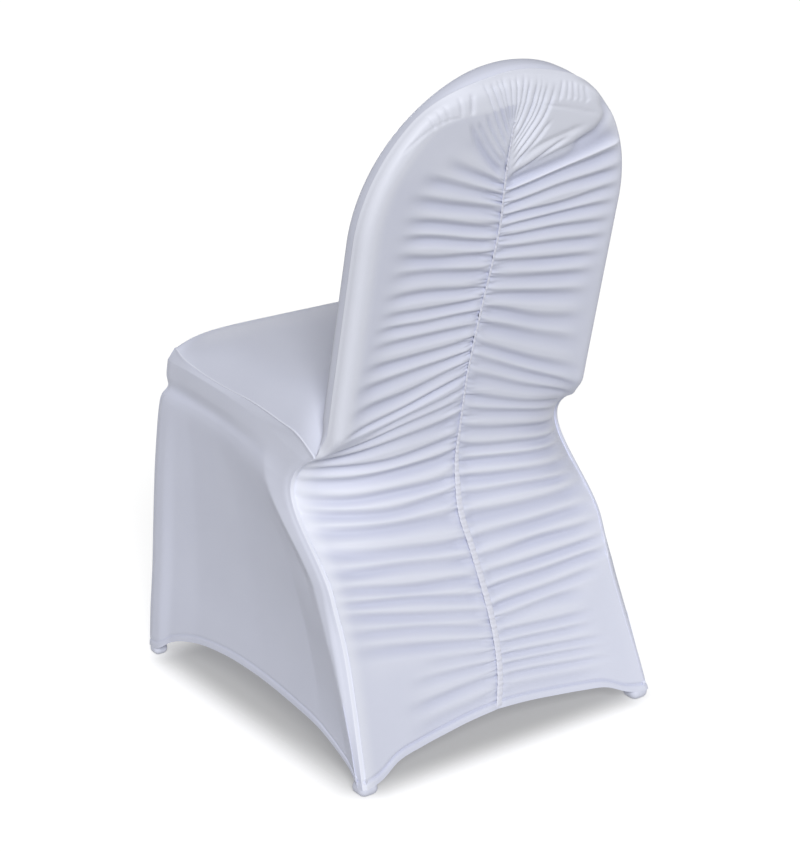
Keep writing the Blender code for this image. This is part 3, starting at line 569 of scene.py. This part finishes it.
def side_profile(length, height, drawn):
    """A row of the side piece: distances from the front seam, and how far out each stands."""
    band, proud = read(REAR_BAND, height, 1), read(REAR_BAND, height, 2)
    leg = CORNER_SHORT + read(REAR_SEAM, height, 3) - read(REAR_SEAM, height, 1)
    columns = [(0.0, 0.0)] + [(d, CORNER_SHORT - drawn * w) for d, w in zip(LEG_COLUMNS, LEG_DRAWN)]
    start, stop = LEG_COLUMNS[-1], length - band - PAST_BAND
    for share, weight, out in zip(MIDDLE_COLUMNS, MIDDLE_DRAWN, MIDDLE_PROUD):
        outward = CORNER_SHORT - drawn * weight + proud * out
        columns.append((start + (stop - start) * share, outward))
    columns.append((stop, leg - drawn * 0.25 + proud * 0.72))
    columns.append((length - band, leg + proud))
    columns.append((length - CORNER_LONG, leg + proud * CORNER_LONG / band))
    return columns + [(length, 0.0)]


def side_points():
    """The left side piece, from the hem to the seat seam, and its painted shade and light."""
    count = len(SIDE_ROWS)
    level = spans((0, 1, HEM_ROWS), (1, count, 12 * (count - 1) + 1))
    rows = through(range(count), SIDE_ROWS, level)
    share = SIDE_COLUMNS
    points, painted_light = [], []
    for at, (x, y, z, rear_z, drawn, lift) in zip(level, rows):
        rear = edge_point(rear_z)[0]
        length = rear[1] - y
        distance, outward = np.array(side_profile(length, rear_z, drawn)).T
        fine = through(SIDE_MARKS, distance, share)
        near = [np.interp(fine + d, distance, outward) for d in np.linspace(-0.003, 0.003, 7)]
        out = np.mean(near, axis=0)
        out[0] = out[-1] = 0.0
        part = fine / length
        hem = through(SIDE_MARKS, HEM_SIDE, share)
        bow = 1 - np.abs(2 * part - 1) ** ROW_BEND
        height = z + (rear[2] - z) * part ** ROW_BEND
        height += lift * (hem + (bow - hem) * smooth(0.0, 1.0, at))
        points.append(np.stack([x + (rear[0] - x) * part + out, y + fine, height], axis=1))
        # Painted light over the band at the rear leg and under the cushion
        band = length - read(REAR_BAND, rear_z, 1)
        over = smooth(band - 0.010, band + 0.001, fine) * smooth(0.0, 2.0, at)
        painted_light.append(np.maximum(over, smooth(UNDER_CUSHION - 0.5, UNDER_CUSHION + 0.3, at)))
    points = np.array(points)
    seam = points[-1].copy()
    notch = edge_point(NOTCH)[0]
    seam[:, 1] = SEAT_SEAM[0][0] + (notch[1] - SEAT_SEAM[0][0]) * share
    depth = [r[0] for r in SEAT_SEAM]
    seam[:, 0], seam[:, 2] = through(depth, [r[1:] for r in SEAT_SEAM], seam[:, 1]).T
    climb = smooth(count - 1, count, level)[:, None, None]
    return points * (1 - climb) + seam * climb, PANEL_SHADE - BAND_LIGHT * np.array(painted_light)


def front_points():
    """The left half of the front piece: skirt, seat and the front of the cover's back."""
    half = FRONT_COLUMNS
    rows = []
    for corner, centre in zip(SIDE_ROWS, SKIRT_CENTRE):
        rows.append((*centre, *corner[:3], SKIRT_BOW))
    first, last = SEAT_SEAM[0][0], SEAT_SEAM[-1][0]
    for y, x, z in SEAT_SEAM[:-1]:
        share = (y - first) / (last - first)
        rise, fall = smooth(0.0, 0.12, share), smooth(0.85, 1.0, share)
        centre_z = SEAT_FRONT[1] + (SEAT_CROWN - SEAT_FRONT[1]) * rise
        centre_z += (SEAT_BACK[1] - SEAT_CROWN) * fall
        centre_y = SEAT_FRONT[0] + (SEAT_BACK[0] - SEAT_FRONT[0]) * share
        rows.append((centre_y, centre_z, x, y, z, SEAT_BOW[0] + (SEAT_BOW[1] - SEAT_BOW[0]) * rise))
    notch = edge_point(NOTCH)[0]
    rows.append((*SEAT_BACK, *notch, NOTCH_BOW))
    last = len(rows) - 1
    level = spans((0, 1, HEM_ROWS), (1, last, 7 * (last - 1) + 1))
    low = []
    for at, (cy, cz, x, y, z, power) in zip(level, through(range(len(rows)), rows, level)):
        bend = half ** power
        if at < 1:
            flat = np.minimum(1.0, half / 0.95) ** power
            bend = flat + (bend - flat) * at
        low.append(np.stack([x * half, cy + (y - cy) * bend, cz + (z - cz) * bend], axis=1))
    low = np.array(low)
    run = spans((BACKREST_LOW, SPRING, 40), (SPRING, TOP_RUN, 90))
    straight = np.clip((run - BACKREST_LOW) / (SPRING - BACKREST_LOW), 0, 1)
    round_top = np.clip((run - SPRING) / (TOP_RUN - SPRING), 0, 1)
    z = BACKREST_START + (SPRING - BACKREST_START) * straight + (BACKREST_END - SPRING) * round_top
    swell = BACK_PAD * smooth(0.46, 0.53, z)
    corner = rim_section(run, SIDE_CORNER, TOP_CORNER)
    edge = edge_point(run)

    def on_front(q):
        height = z + (corner[:, 0, 2] - z) * q
        depth = face_y(height) - RIM - swell * (1 - q ** BACKREST_BOW)
        return np.stack([corner[:, 0, 0] * q, depth, height], axis=1)

    turn = np.stack([on_front(q) for q in (0.6, 0.75, 0.83, 0.90)] + [corner[:, 0], corner[:, 1], edge])
    curved = through((0.6, 0.7, 0.78, 0.86, 0.93, 0.966, 1.0), turn, half)
    flat = np.stack([on_front(q) for q in half])
    high = np.where((half < 0.6)[:, None, None], flat, curved).transpose(1, 0, 2)
    lift = np.linspace(0, 1, 12)[1:-1]
    between = np.array([low[-1] * (1 - t) + high[0] * t for t in lift])
    between[:, -1] = edge_point(NOTCH + (BACKREST_LOW - NOTCH) * lift)
    return np.concatenate([low, between, high])


def grid_quads(rows, columns):
    a = (np.arange(rows - 1)[:, None] * columns + np.arange(columns - 1)).reshape(-1)
    return np.stack([a, a + 1, a + columns + 1, a + columns], axis=1)


def vertex_normals(points, quads):
    face = np.cross(points[quads[:, 2]] - points[quads[:, 0]], points[quads[:, 3]] - points[quads[:, 1]])
    normals = np.zeros_like(points)
    for k in range(4):
        np.add.at(normals, quads[:, k], face)
    return normals / np.maximum(np.linalg.norm(normals, axis=1), 1e-12)[:, None]


def marked_mesh(name, points, faces, uv, painted_shading):
    """A smooth mesh with its cloth coordinates in metres and its painted shade and light."""
    mesh = bpy.data.meshes.new(name)
    mesh.from_pydata((points - HOLD).tolist(), [], faces)
    layer = mesh.uv_layers.new(name="cloth_metres")
    corners = np.empty(len(mesh.loops), np.int64)
    mesh.loops.foreach_get("vertex_index", corners)
    layer.data.foreach_set("uv", uv[corners].astype(np.float32).reshape(-1))
    mark = mesh.attributes.new("painted_shading", "FLOAT", "POINT")
    mark.data.foreach_set("value", painted_shading.astype(np.float32))
    mesh.shade_smooth()
    return mesh


def cloth_mesh(name, points, quads, uv, painted_shading, thickness=CLOTH):
    """A sheet with two skins and a wall round its edge."""
    normals = vertex_normals(points, quads)
    away = points - INSIDE
    away[:, 2] *= 0.3
    if np.sum(normals * away) < 0:
        quads = quads[:, ::-1]
        normals = -normals
    count = len(points)
    ends = np.concatenate([quads[:, [k, (k + 1) % 4]] for k in range(4)])
    key = ends[:, 0] * count + ends[:, 1]
    back = ends[:, 1] * count + ends[:, 0]
    border = ends[~np.isin(key, back)]
    walls = np.stack([border[:, 1], border[:, 0], border[:, 0] + count, border[:, 1] + count], axis=1)
    solid = np.concatenate([quads, quads[:, ::-1] + count, walls])
    both = np.concatenate([points, points - normals * thickness])
    mesh = marked_mesh(name, both, solid.tolist(), np.tile(uv, (2, 1)), np.tile(painted_shading, 2))
    mesh.set_sharp_from_angle(angle=SHARP)
    mesh.validate()
    return mesh


def grid_sheet(name, points, uv, painted_shading, thickness=CLOTH):
    """A sheet on a grid of points."""
    uv = np.stack(uv, axis=2).reshape(-1, 2)
    quads = grid_quads(*points.shape[:2])
    return cloth_mesh(name, points.reshape(-1, 3), quads, uv, painted_shading.reshape(-1), thickness)


def mirrored_sheet(name, points, uv, painted_shading):
    """A sheet on a grid and its mirror image, which share the middle column and the last row."""
    rows, columns = points.shape[:2]
    index = np.arange(rows * columns).reshape(rows, columns)
    mirror = index + rows * columns
    mirror[:, 0] = index[:, 0]
    mirror[-1, :] = index[-1, :]
    left = grid_quads(rows, columns)
    quads = np.concatenate([left, mirror.reshape(-1)[left][:, ::-1]])
    half = points.reshape(-1, 3)
    both = np.concatenate([half, half * (-1, 1, 1)])
    used = np.zeros(len(both), bool)
    used[quads.reshape(-1)] = True
    new = np.cumsum(used) - 1
    uv = np.stack(uv, axis=2).reshape(-1, 2)
    uv = np.concatenate([uv, uv * (-1, 1)])[used]
    painted_shading = np.tile(painted_shading.reshape(-1), 2)[used]
    return cloth_mesh(name, both[used], new[quads], uv, painted_shading)


def add_object(name, data):
    thing = bpy.data.objects.new(name, data)
    scene.collection.objects.link(thing)
    return thing


def add_piece(mesh, material, node):
    """An object at the origin that rides on the cover's one body and stands for a CAD node."""
    piece = add_object(mesh.name, mesh)
    mesh.materials.append(material)
    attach(piece, "root")
    if node:
        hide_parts(node)
    return piece


def new_group(name, kind, inputs, outputs):
    """An empty node group with named sockets, and its input and output nodes."""
    group = bpy.data.node_groups.new(name, kind)
    for way, sockets in (("INPUT", inputs), ("OUTPUT", outputs)):
        for word, sort in sockets.items():
            group.interface.new_socket(word, in_out=way, socket_type="NodeSocket" + sort)
    return group, group.nodes.new("NodeGroupInput"), group.nodes.new("NodeGroupOutput")


def fill(node, values):
    """Sets inputs by name."""
    for word, value in values.items():
        node.inputs[word].default_value = value


def join(tree, links):
    """Links pairs of sockets."""
    for link in links:
        tree.links.new(*link)


def maths(tree, operation, *values):
    """A Math node of one or two values, which are sockets or numbers."""
    node = tree.nodes.new("ShaderNodeMath")
    node.operation = operation
    for socket, value in zip(node.inputs, values):
        if isinstance(value, (int, float)):
            socket.default_value = value
        else:
            tree.links.new(value, socket)
    return node.outputs[0]


def stretch_knit_group():
    """Fine wales and courses of a stretch knit, with slight clouding, and painted shade and light from the
    mesh's mark.
    """
    group, given, result = new_group(
        "stretch_knit", "ShaderNodeTree",
        {"Coordinates": "Vector", "Painted shading": "Float", "Colour": "Color", "Shade": "Color",
         "Wale": "Float", "Course": "Float", "Roughness": "Float"},
        {"Colour": "Color", "Roughness": "Float", "Height": "Float"})
    apart = group.nodes.new("ShaderNodeSeparateXYZ")
    group.links.new(given.outputs["Coordinates"], apart.inputs[0])
    do = partial(maths, group)
    wales = do("DIVIDE", apart.outputs[0], given.outputs["Wale"])
    courses = do("DIVIDE", apart.outputs[1], given.outputs["Course"])
    lean = do("ABSOLUTE", do("SUBTRACT", do("FRACT", wales), 0.5))
    rib = do("SINE", do("MULTIPLY", lean, math.pi))
    loop = do("SINE", do("MULTIPLY", do("ADD", courses, lean), 2 * math.pi))
    height = do("ADD", rib, do("MULTIPLY", loop, LOOP_RELIEF))
    cloud = group.nodes.new("ShaderNodeTexNoise")
    scale, detail, strength = CLOUDS
    fill(cloud, {"Scale": scale, "Detail": detail})
    group.links.new(given.outputs["Coordinates"], cloud.inputs["Vector"])
    drift = do("MULTIPLY", do("SUBTRACT", cloud.outputs[0], 0.5), strength)
    shade = do("MULTIPLY", given.outputs["Painted shading"], SHADE_CREASE)
    shade = do("ADD", do("ADD", shade, SHADE_EVEN), drift)
    shade = do("ADD", shade, do("MULTIPLY", rib, SHADE_RIB))
    blend = group.nodes.new("ShaderNodeMix")
    blend.data_type = "RGBA"
    blend.clamp_factor = True
    join(group, (
        (shade, blend.inputs["Factor"]),
        (given.outputs["Colour"], blend.inputs[6]),
        (given.outputs["Shade"], blend.inputs[7]),
        (blend.outputs[2], result.inputs["Colour"]),
        (do("ADD", given.outputs["Roughness"], drift), result.inputs["Roughness"]),
        (height, result.inputs["Height"]),
    ))
    return group


def cloth_material(name, group, colour, shade, roughness, wale, course, sheen):
    """A knit with painted shade and light from the mesh's mark: darker where it lies in a crease, lighter
    where the mark is below zero.
    """
    material = bpy.data.materials.new(name)
    material.use_nodes = True
    tree = material.node_tree
    shader = tree.nodes["Principled BSDF"]
    place = tree.nodes.new("ShaderNodeUVMap")
    place.uv_map = "cloth_metres"
    painted_shading = tree.nodes.new("ShaderNodeAttribute")
    painted_shading.attribute_name = "painted_shading"
    knit = tree.nodes.new("ShaderNodeGroup")
    knit.node_tree = group
    fill(knit, {"Colour": (*colour, 1), "Shade": (*shade, 1), "Wale": wale, "Course": course,
                "Roughness": roughness})
    relief = tree.nodes.new("ShaderNodeBump")
    fill(relief, KNIT_BUMP)
    join(tree, (
        (place.outputs[0], knit.inputs["Coordinates"]),
        (painted_shading.outputs["Fac"], knit.inputs["Painted shading"]),
        (knit.outputs["Height"], relief.inputs["Height"]),
        (relief.outputs[0], shader.inputs["Normal"]),
        (knit.outputs["Colour"], shader.inputs["Base Color"]),
        (knit.outputs["Roughness"], shader.inputs["Roughness"]),
    ))
    fill(shader, {"Sheen Weight": sheen, "Sheen Roughness": SHEEN_ROUGHNESS, "IOR": CLOTH_IOR})
    return material


def pocket_mesh(name, half, turn, place):
    """A foot pocket: a rounded cup of cloth, open at the top."""
    count = POCKET_AROUND
    steps = np.linspace(0, 2 * math.pi, count + 1)[:-1]
    inner = []
    for inset, z in POCKET_WALL:
        inner.append((inset + CLOTH * (0.2 + 0.8 * min(1.0, z / POCKET_BEND)), max(z, CLOTH)))
    rings = [*POCKET_WALL, *inner[::-1]]
    points, uv = [], []
    for inset, z in rings:
        corner = max(turn - inset, POCKET_CORNER)
        straight = half - inset - corner
        ring = []
        for middle, wave in zip(place, (np.cos(steps), np.sin(steps))):
            ring.append(np.sign(wave) * straight * smooth(0, 0.25, np.abs(wave)) + corner * wave + middle)
        height = np.full(count, z)
        points.append(np.stack([*ring, height], axis=1))
        uv.append(np.stack([steps * half, height], axis=1))
    low = len(POCKET_WALL) - 1
    faces = []
    for i in range(len(rings)):
        if i == low:
            continue
        above = (i + 1) % len(rings)
        for j in range(count):
            k = (j + 1) % count
            faces.append((i * count + j, above * count + j, above * count + k, i * count + k))
    faces.append(tuple(low * count + j for j in reversed(range(count))))
    faces.append(tuple((low + 1) * count + j for j in range(count)))
    shade = np.zeros(len(rings) * count)
    mesh = marked_mesh(name, np.concatenate(points), faces, np.concatenate(uv), shade)
    mesh.set_sharp_from_angle(angle=SHARP)
    return mesh


def tape_width(z):
    """The tape is pinched narrow above the waist."""
    low, high = TAPE_WIDTH
    return low + (high - low) * smooth(0.30, 0.46, z)


def tape_sink(z):
    """Above the waist the gathers pull the tape in; below it the tape lies on top of them."""
    return SEAM_SINK * smooth(0.26, 0.44, z) - TAPE_PROUD


def tape_mesh(name):
    """The strip over the centre seam, which ripples with the gathers."""
    z = np.arange(SEAM_HEM + 0.003, SEAM_TOP - 0.004, TAPE_STEP)
    crown = TAPE_EDGE + TAPE_CROWN * (1 - TAPE_ACROSS ** 4)
    ripple = sum(deep * np.sin(z * 2 * math.pi / long + start) for deep, long, start in TAPE_RIPPLES)
    points = []
    for height, width, wave in zip(z, tape_width(z), ripple):
        x = seam_x(height) + TAPE_ACROSS * width / 2
        y = face_y(height) + crown + wave - tape_sink(height)
        points.append(np.stack([x, y, np.full(len(x), height)], axis=1))
    points = np.array(points)
    return grid_sheet(name, points, run_lengths(points), np.zeros(points.shape[:2]), TAPE_THICKNESS)


def ridge_mesh(name, paths):
    """The sewn ridge that runs along each seam: one thin round cord of cloth a path."""
    around = np.linspace(0, 2 * math.pi, 9)[:-1]
    points, faces, uv = [], [], []
    for path in paths:
        keep = np.concatenate([[True], np.linalg.norm(np.diff(path, axis=0), axis=1) > 2e-4])
        path = path[keep]
        along = np.gradient(path, axis=0)
        along /= np.linalg.norm(along, axis=1)[:, None]
        inward = INSIDE - path
        inward -= along * np.sum(inward * along, axis=1)[:, None]
        inward /= np.linalg.norm(inward, axis=1)[:, None]
        beside = np.cross(along, inward)
        first = sum(len(p) for p in points)
        centre = path + inward * RIDGE_SUNK
        ring = inward[:, None] * np.cos(around)[:, None] + beside[:, None] * np.sin(around)[:, None]
        points.append((centre[:, None] + RIDGE * ring).reshape(-1, 3))
        run = np.concatenate([[0], np.cumsum(np.linalg.norm(np.diff(path, axis=0), axis=1))])
        uv.append(np.stack(np.broadcast_arrays(around * RIDGE, run[:, None]), axis=2).reshape(-1, 2))
        count = len(around)
        for i in range(len(path) - 1):
            for j in range(count):
                k = (j + 1) % count
                low = first + i * count
                faces.append((low + j, low + k, low + count + k, low + count + j))
        faces.append(tuple(first + j for j in reversed(range(count))))
        faces.append(tuple(first + (len(path) - 1) * count + j for j in range(count)))
    points = np.concatenate(points)
    # The sewn ridges take the full painted light
    return marked_mesh(name, points, faces, np.concatenate(uv), np.full(len(points), -1.0))


def hem_line(points, v):
    """The line of stitches just below the top of a turned-up hem."""
    index = np.argmin(np.abs(v - HEM_TURN * HEM_ROW), axis=0)
    return points[index, np.arange(points.shape[1])][:-1]


def tape_line(share):
    """A line of stitches along the tape, at a share of its half width."""
    z = np.arange(SEAM_HEM + 0.006, SEAM_TOP - 0.006, TAPE_ROW_STEP)
    x = seam_x(z) + share * tape_width(z) / 2
    return np.stack([x, face_y(z) - tape_sink(z) + TAPE_CROWN + TAPE_EDGE, z], axis=1)


def stitch_tree():
    """Geometry Nodes that lay short threads end to end along lines."""
    tree, given, result = new_group(
        "row_of_stitches", "GeometryNodeTree",
        {"Sewn lines": "Geometry", "Spacing": "Float", "Stitch length": "Float",
         "Thread radius": "Float", "Thread": "Material"},
        {"Stitches": "Geometry"})
    line = tree.nodes.new("GeometryNodeMeshToCurve")
    places = tree.nodes.new("GeometryNodeCurveToPoints")
    places.mode = "LENGTH"
    turn = tree.nodes.new("FunctionNodeAlignRotationToVector")
    turn.axis = "Z"
    thread = tree.nodes.new("GeometryNodeMeshCylinder")
    thread.inputs["Vertices"].default_value = 6
    lay = tree.nodes.new("GeometryNodeInstanceOnPoints")
    real = tree.nodes.new("GeometryNodeRealizeInstances")
    finish = tree.nodes.new("GeometryNodeSetMaterial")
    join(tree, (
        (given.outputs["Sewn lines"], line.inputs["Mesh"]),
        (line.outputs["Curve"], places.inputs["Curve"]),
        (given.outputs["Spacing"], places.inputs["Length"]),
        (places.outputs["Tangent"], turn.inputs["Vector"]),
        (given.outputs["Stitch length"], thread.inputs["Depth"]),
        (given.outputs["Thread radius"], thread.inputs["Radius"]),
        (places.outputs["Points"], lay.inputs["Points"]),
        (thread.outputs["Mesh"], lay.inputs["Instance"]),
        (turn.outputs["Rotation"], lay.inputs["Rotation"]),
        (lay.outputs["Instances"], real.inputs["Geometry"]),
        (real.outputs["Geometry"], finish.inputs["Geometry"]),
        (given.outputs["Thread"], finish.inputs["Material"]),
        (finish.outputs["Geometry"], result.inputs["Stitches"]),
    ))
    return tree


def stitch_mesh(name, tree, lines, spacing, length, radius):
    """A plain mesh of the stitches along the lines."""
    points = np.concatenate(lines) - HOLD
    edges, first = [], 0
    for line in lines:
        edges += [(first + k, first + k + 1) for k in range(len(line) - 1)]
        first += len(line)
    guide = bpy.data.meshes.new(name + "_lines")
    guide.from_pydata(points.tolist(), edges, [])
    holder = add_object(name + "_lines", guide)
    sewing = holder.modifiers.new("sewing", "NODES")
    sewing.node_group = tree
    values = {"Spacing": spacing, "Stitch length": length, "Thread radius": radius, "Thread": THREAD}
    for socket in tree.interface.items_tree:
        if socket.name in values:
            sewing[socket.identifier] = values[socket.name]
    ready = holder.evaluated_get(bpy.context.evaluated_depsgraph_get())
    mesh = bpy.data.meshes.new_from_object(ready)
    mesh.name = name
    bpy.data.objects.remove(holder)
    mesh.materials.clear()
    return mesh


def shade_under(tree, shader):
    """Paper with a painted shadow under the cover, where little light reaches it; the shadow dims its glow
    too.
    """
    place = tree.nodes.new("ShaderNodeTexCoord")
    apart = tree.nodes.new("ShaderNodeSeparateXYZ")
    tree.links.new(place.outputs["Object"], apart.inputs[0])
    do = partial(maths, tree)
    beside = do("SUBTRACT", do("ABSOLUTE", apart.outputs[0]), FOOTPRINT[0])
    ahead = do("ADD", apart.outputs[1], float(HOLD[1]))
    ahead = do("SUBTRACT", do("ABSOLUTE", ahead), FOOTPRINT[1])
    squares = [do("POWER", do("MAXIMUM", d, 0.0), 2.0) for d in (beside, ahead)]
    away = do("SQRT", do("ADD", *squares))
    fade = tree.nodes.new("ShaderNodeMapRange")
    fade.interpolation_type = "SMOOTHSTEP"
    fill(fade, {"From Max": SHADE_REACH, "To Min": SHADE_FLOOR, "To Max": 1.0})
    tree.links.new(away, fade.inputs["Value"])
    white = do("MULTIPLY", fade.outputs["Result"], PAPER[0])
    for word, value in (("Base Color", white), ("Emission Color", fade.outputs["Result"])):
        grey = tree.nodes.new("ShaderNodeCombineColor")
        for socket in grey.inputs:
            tree.links.new(value, socket)
        tree.links.new(grey.outputs[0], shader.inputs[word])


# The cloth
knit = stretch_knit_group()
WHITE_CLOTH = cloth_material("white_stretch_knit", knit, *CLOTH_LOOK)
WHITE_TAPE = cloth_material("white_seam_tape", knit, *TAPE_LOOK)
THREAD = cloth_material("white_thread", knit, *THREAD_LOOK)

hems = []
edge = edge_point(EDGE_RUNS)
seams = [np.concatenate([edge, edge[::-1] * (-1, 1, 1)])]
for side, word, folds, seed in ((1, "left", FOLDS_LEFT, 11), (-1, "right", FOLDS_RIGHT, 23)):
    points, painted_shading, (u, v) = back_points(folds, side, seed)
    hems.append(hem_line(points, v))
    name = "back_panel_" + word
    mesh = grid_sheet("ruched_back_" + word, points, (u, v), painted_shading)
    add_piece(mesh, WHITE_CLOTH, name)

    points, painted_shading = side_points()
    u, v = run_lengths(points)
    normals = grid_normals(points)
    outward = np.sign(np.median(normals[:, :, 0]))
    from_seam = (u, u[:, -1:] - u, v[-1:] - v)
    rise = SEAM_RISE * sum(bump(away, SEAM_WIDTH) for away in from_seam)
    rise += SIDE_HEM * hem_relief(v)
    # Painted shade along the side hem's sewn groove
    painted_shading += SIDE_HEM * hem_groove(v)
    seams += [points[:, 0] * (side, 1, 1), points[-1] * (side, 1, 1)]
    points = (points + normals * outward * rise[:, :, None]) * (side, 1, 1)
    hems.append(hem_line(points, v))
    name = "side_panel_" + word
    mesh = grid_sheet("skirt_side_" + word, points, (u, v), painted_shading)
    add_piece(mesh, WHITE_CLOTH, name)

points = front_points()
u, v = run_lengths(points)
normals = grid_normals(points)
facing = -np.sign(np.median(normals[:HEM_ROWS, :, 1]))
points = points + facing * normals * hem_relief(v)[:, :, None]
points[:, 0, 0] = 0.0
points[-1, :, 0] = 0.0
hems += [hem_line(points, v), hem_line(points, v) * (-1, 1, 1)]
# The front's painted shade is the hem's sewn groove alone
mesh = mirrored_sheet("seat_and_front", points, (u, v), hem_groove(v))
add_piece(mesh, WHITE_CLOTH, "front_panel")

for word, x, y, half, turn, cut, area in POCKETS:
    for side, hand in ((1, "left"), (-1, "right")):
        node = f"foot_pocket_{word}_{hand}"
        mesh = pocket_mesh(f"foot_cup_{word}_{hand}", half, turn, (side * x, y))
        add_piece(mesh, WHITE_CLOTH, node)

tape = add_piece(tape_mesh("ruching_tape"), WHITE_TAPE, "centre_seam_tape")
ridges = add_piece(ridge_mesh("sewn_ridges", seams), WHITE_CLOTH, None)
stitches = stitch_tree()
mesh = stitch_mesh("hem_stitches", stitches, hems, *HEM_STITCH)
hem_stitches = add_piece(mesh, THREAD, None)
mesh = stitch_mesh("tape_stitches", stitches, [tape_line(-TAPE_ROW), tape_line(TAPE_ROW)], *TAPE_STITCH)
tape_stitches = add_piece(mesh, THREAD, None)

# Floor, light and camera
corners = ((-1, -1), (1, -1), (1, 1), (-1, 1))
floor = bpy.data.meshes.new("pale_floor")
floor.from_pydata([(x * FLOOR_REACH, y * FLOOR_REACH, -HOLD[2]) for x, y in corners], [], [(0, 1, 2, 3)])
floor_object = add_object("pale_floor", floor)
paper = bpy.data.materials.new("white_paper")
paper.use_nodes = True
paper_shader = paper.node_tree.nodes["Principled BSDF"]
fill(paper_shader, {"Roughness": PAPER[1], "Specular IOR Level": PAPER[2], "Emission Strength": FLOOR_GLOW})
shade_under(paper.node_tree, paper_shader)
floor.materials.append(paper)
floor_object.visible_diffuse = False

world = bpy.data.worlds.new("studio")
scene.world = world
world.use_nodes = True
air = world.node_tree
soft = air.nodes["Background"]
fill(soft, {"Color": (1, 1, 1, 1), "Strength": SOFT_LIGHT})
plain = air.nodes.new("ShaderNodeBackground")
fill(plain, {"Color": (1, 1, 1, 1)})
either = air.nodes.new("ShaderNodeMixShader")
join(air, (
    (air.nodes.new("ShaderNodeLightPath").outputs["Is Camera Ray"], either.inputs[0]),
    (soft.outputs[0], either.inputs[1]),
    (plain.outputs[0], either.inputs[2]),
    (either.outputs[0], air.nodes["World Output"].inputs[0]),
))

for name, strength, softness, azimuth, elevation in LIGHTS:
    light = bpy.data.lights.new(name, "SUN")
    light.energy = strength
    light.angle = math.radians(softness)
    azimuth, elevation = math.radians(azimuth), math.radians(elevation)
    toward = Vector((math.cos(azimuth) * math.cos(elevation),
                     math.sin(azimuth) * math.cos(elevation), math.sin(elevation)))
    lamp = add_object(name, light)
    lamp.matrix_world = toward.to_track_quat("Z", "Y").to_matrix().to_4x4()

back = Vector((math.sin(CAMERA_AZIMUTH) * math.cos(CAMERA_HEIGHT),
               -math.cos(CAMERA_AZIMUTH) * math.cos(CAMERA_HEIGHT), math.sin(CAMERA_HEIGHT)))
right = Vector((math.cos(CAMERA_AZIMUTH), math.sin(CAMERA_AZIMUTH), 0))
up = back.cross(right)
camera = add_object("photo_camera", bpy.data.cameras.new("photo_camera"))
camera.data.sensor_width = CAMERA_SENSOR
camera.data.lens = FOCAL_PIXELS * CAMERA_SENSOR / VIEW_PIXELS
camera.data.clip_end = CAMERA_CLIP
camera.matrix_world = (Matrix.Translation(CAMERA_TARGET + back * CAMERA_DISTANCE)
                       @ Matrix((right, up, back)).transposed().to_4x4())
scene.camera = camera
scene.view_settings.view_transform = "Standard"
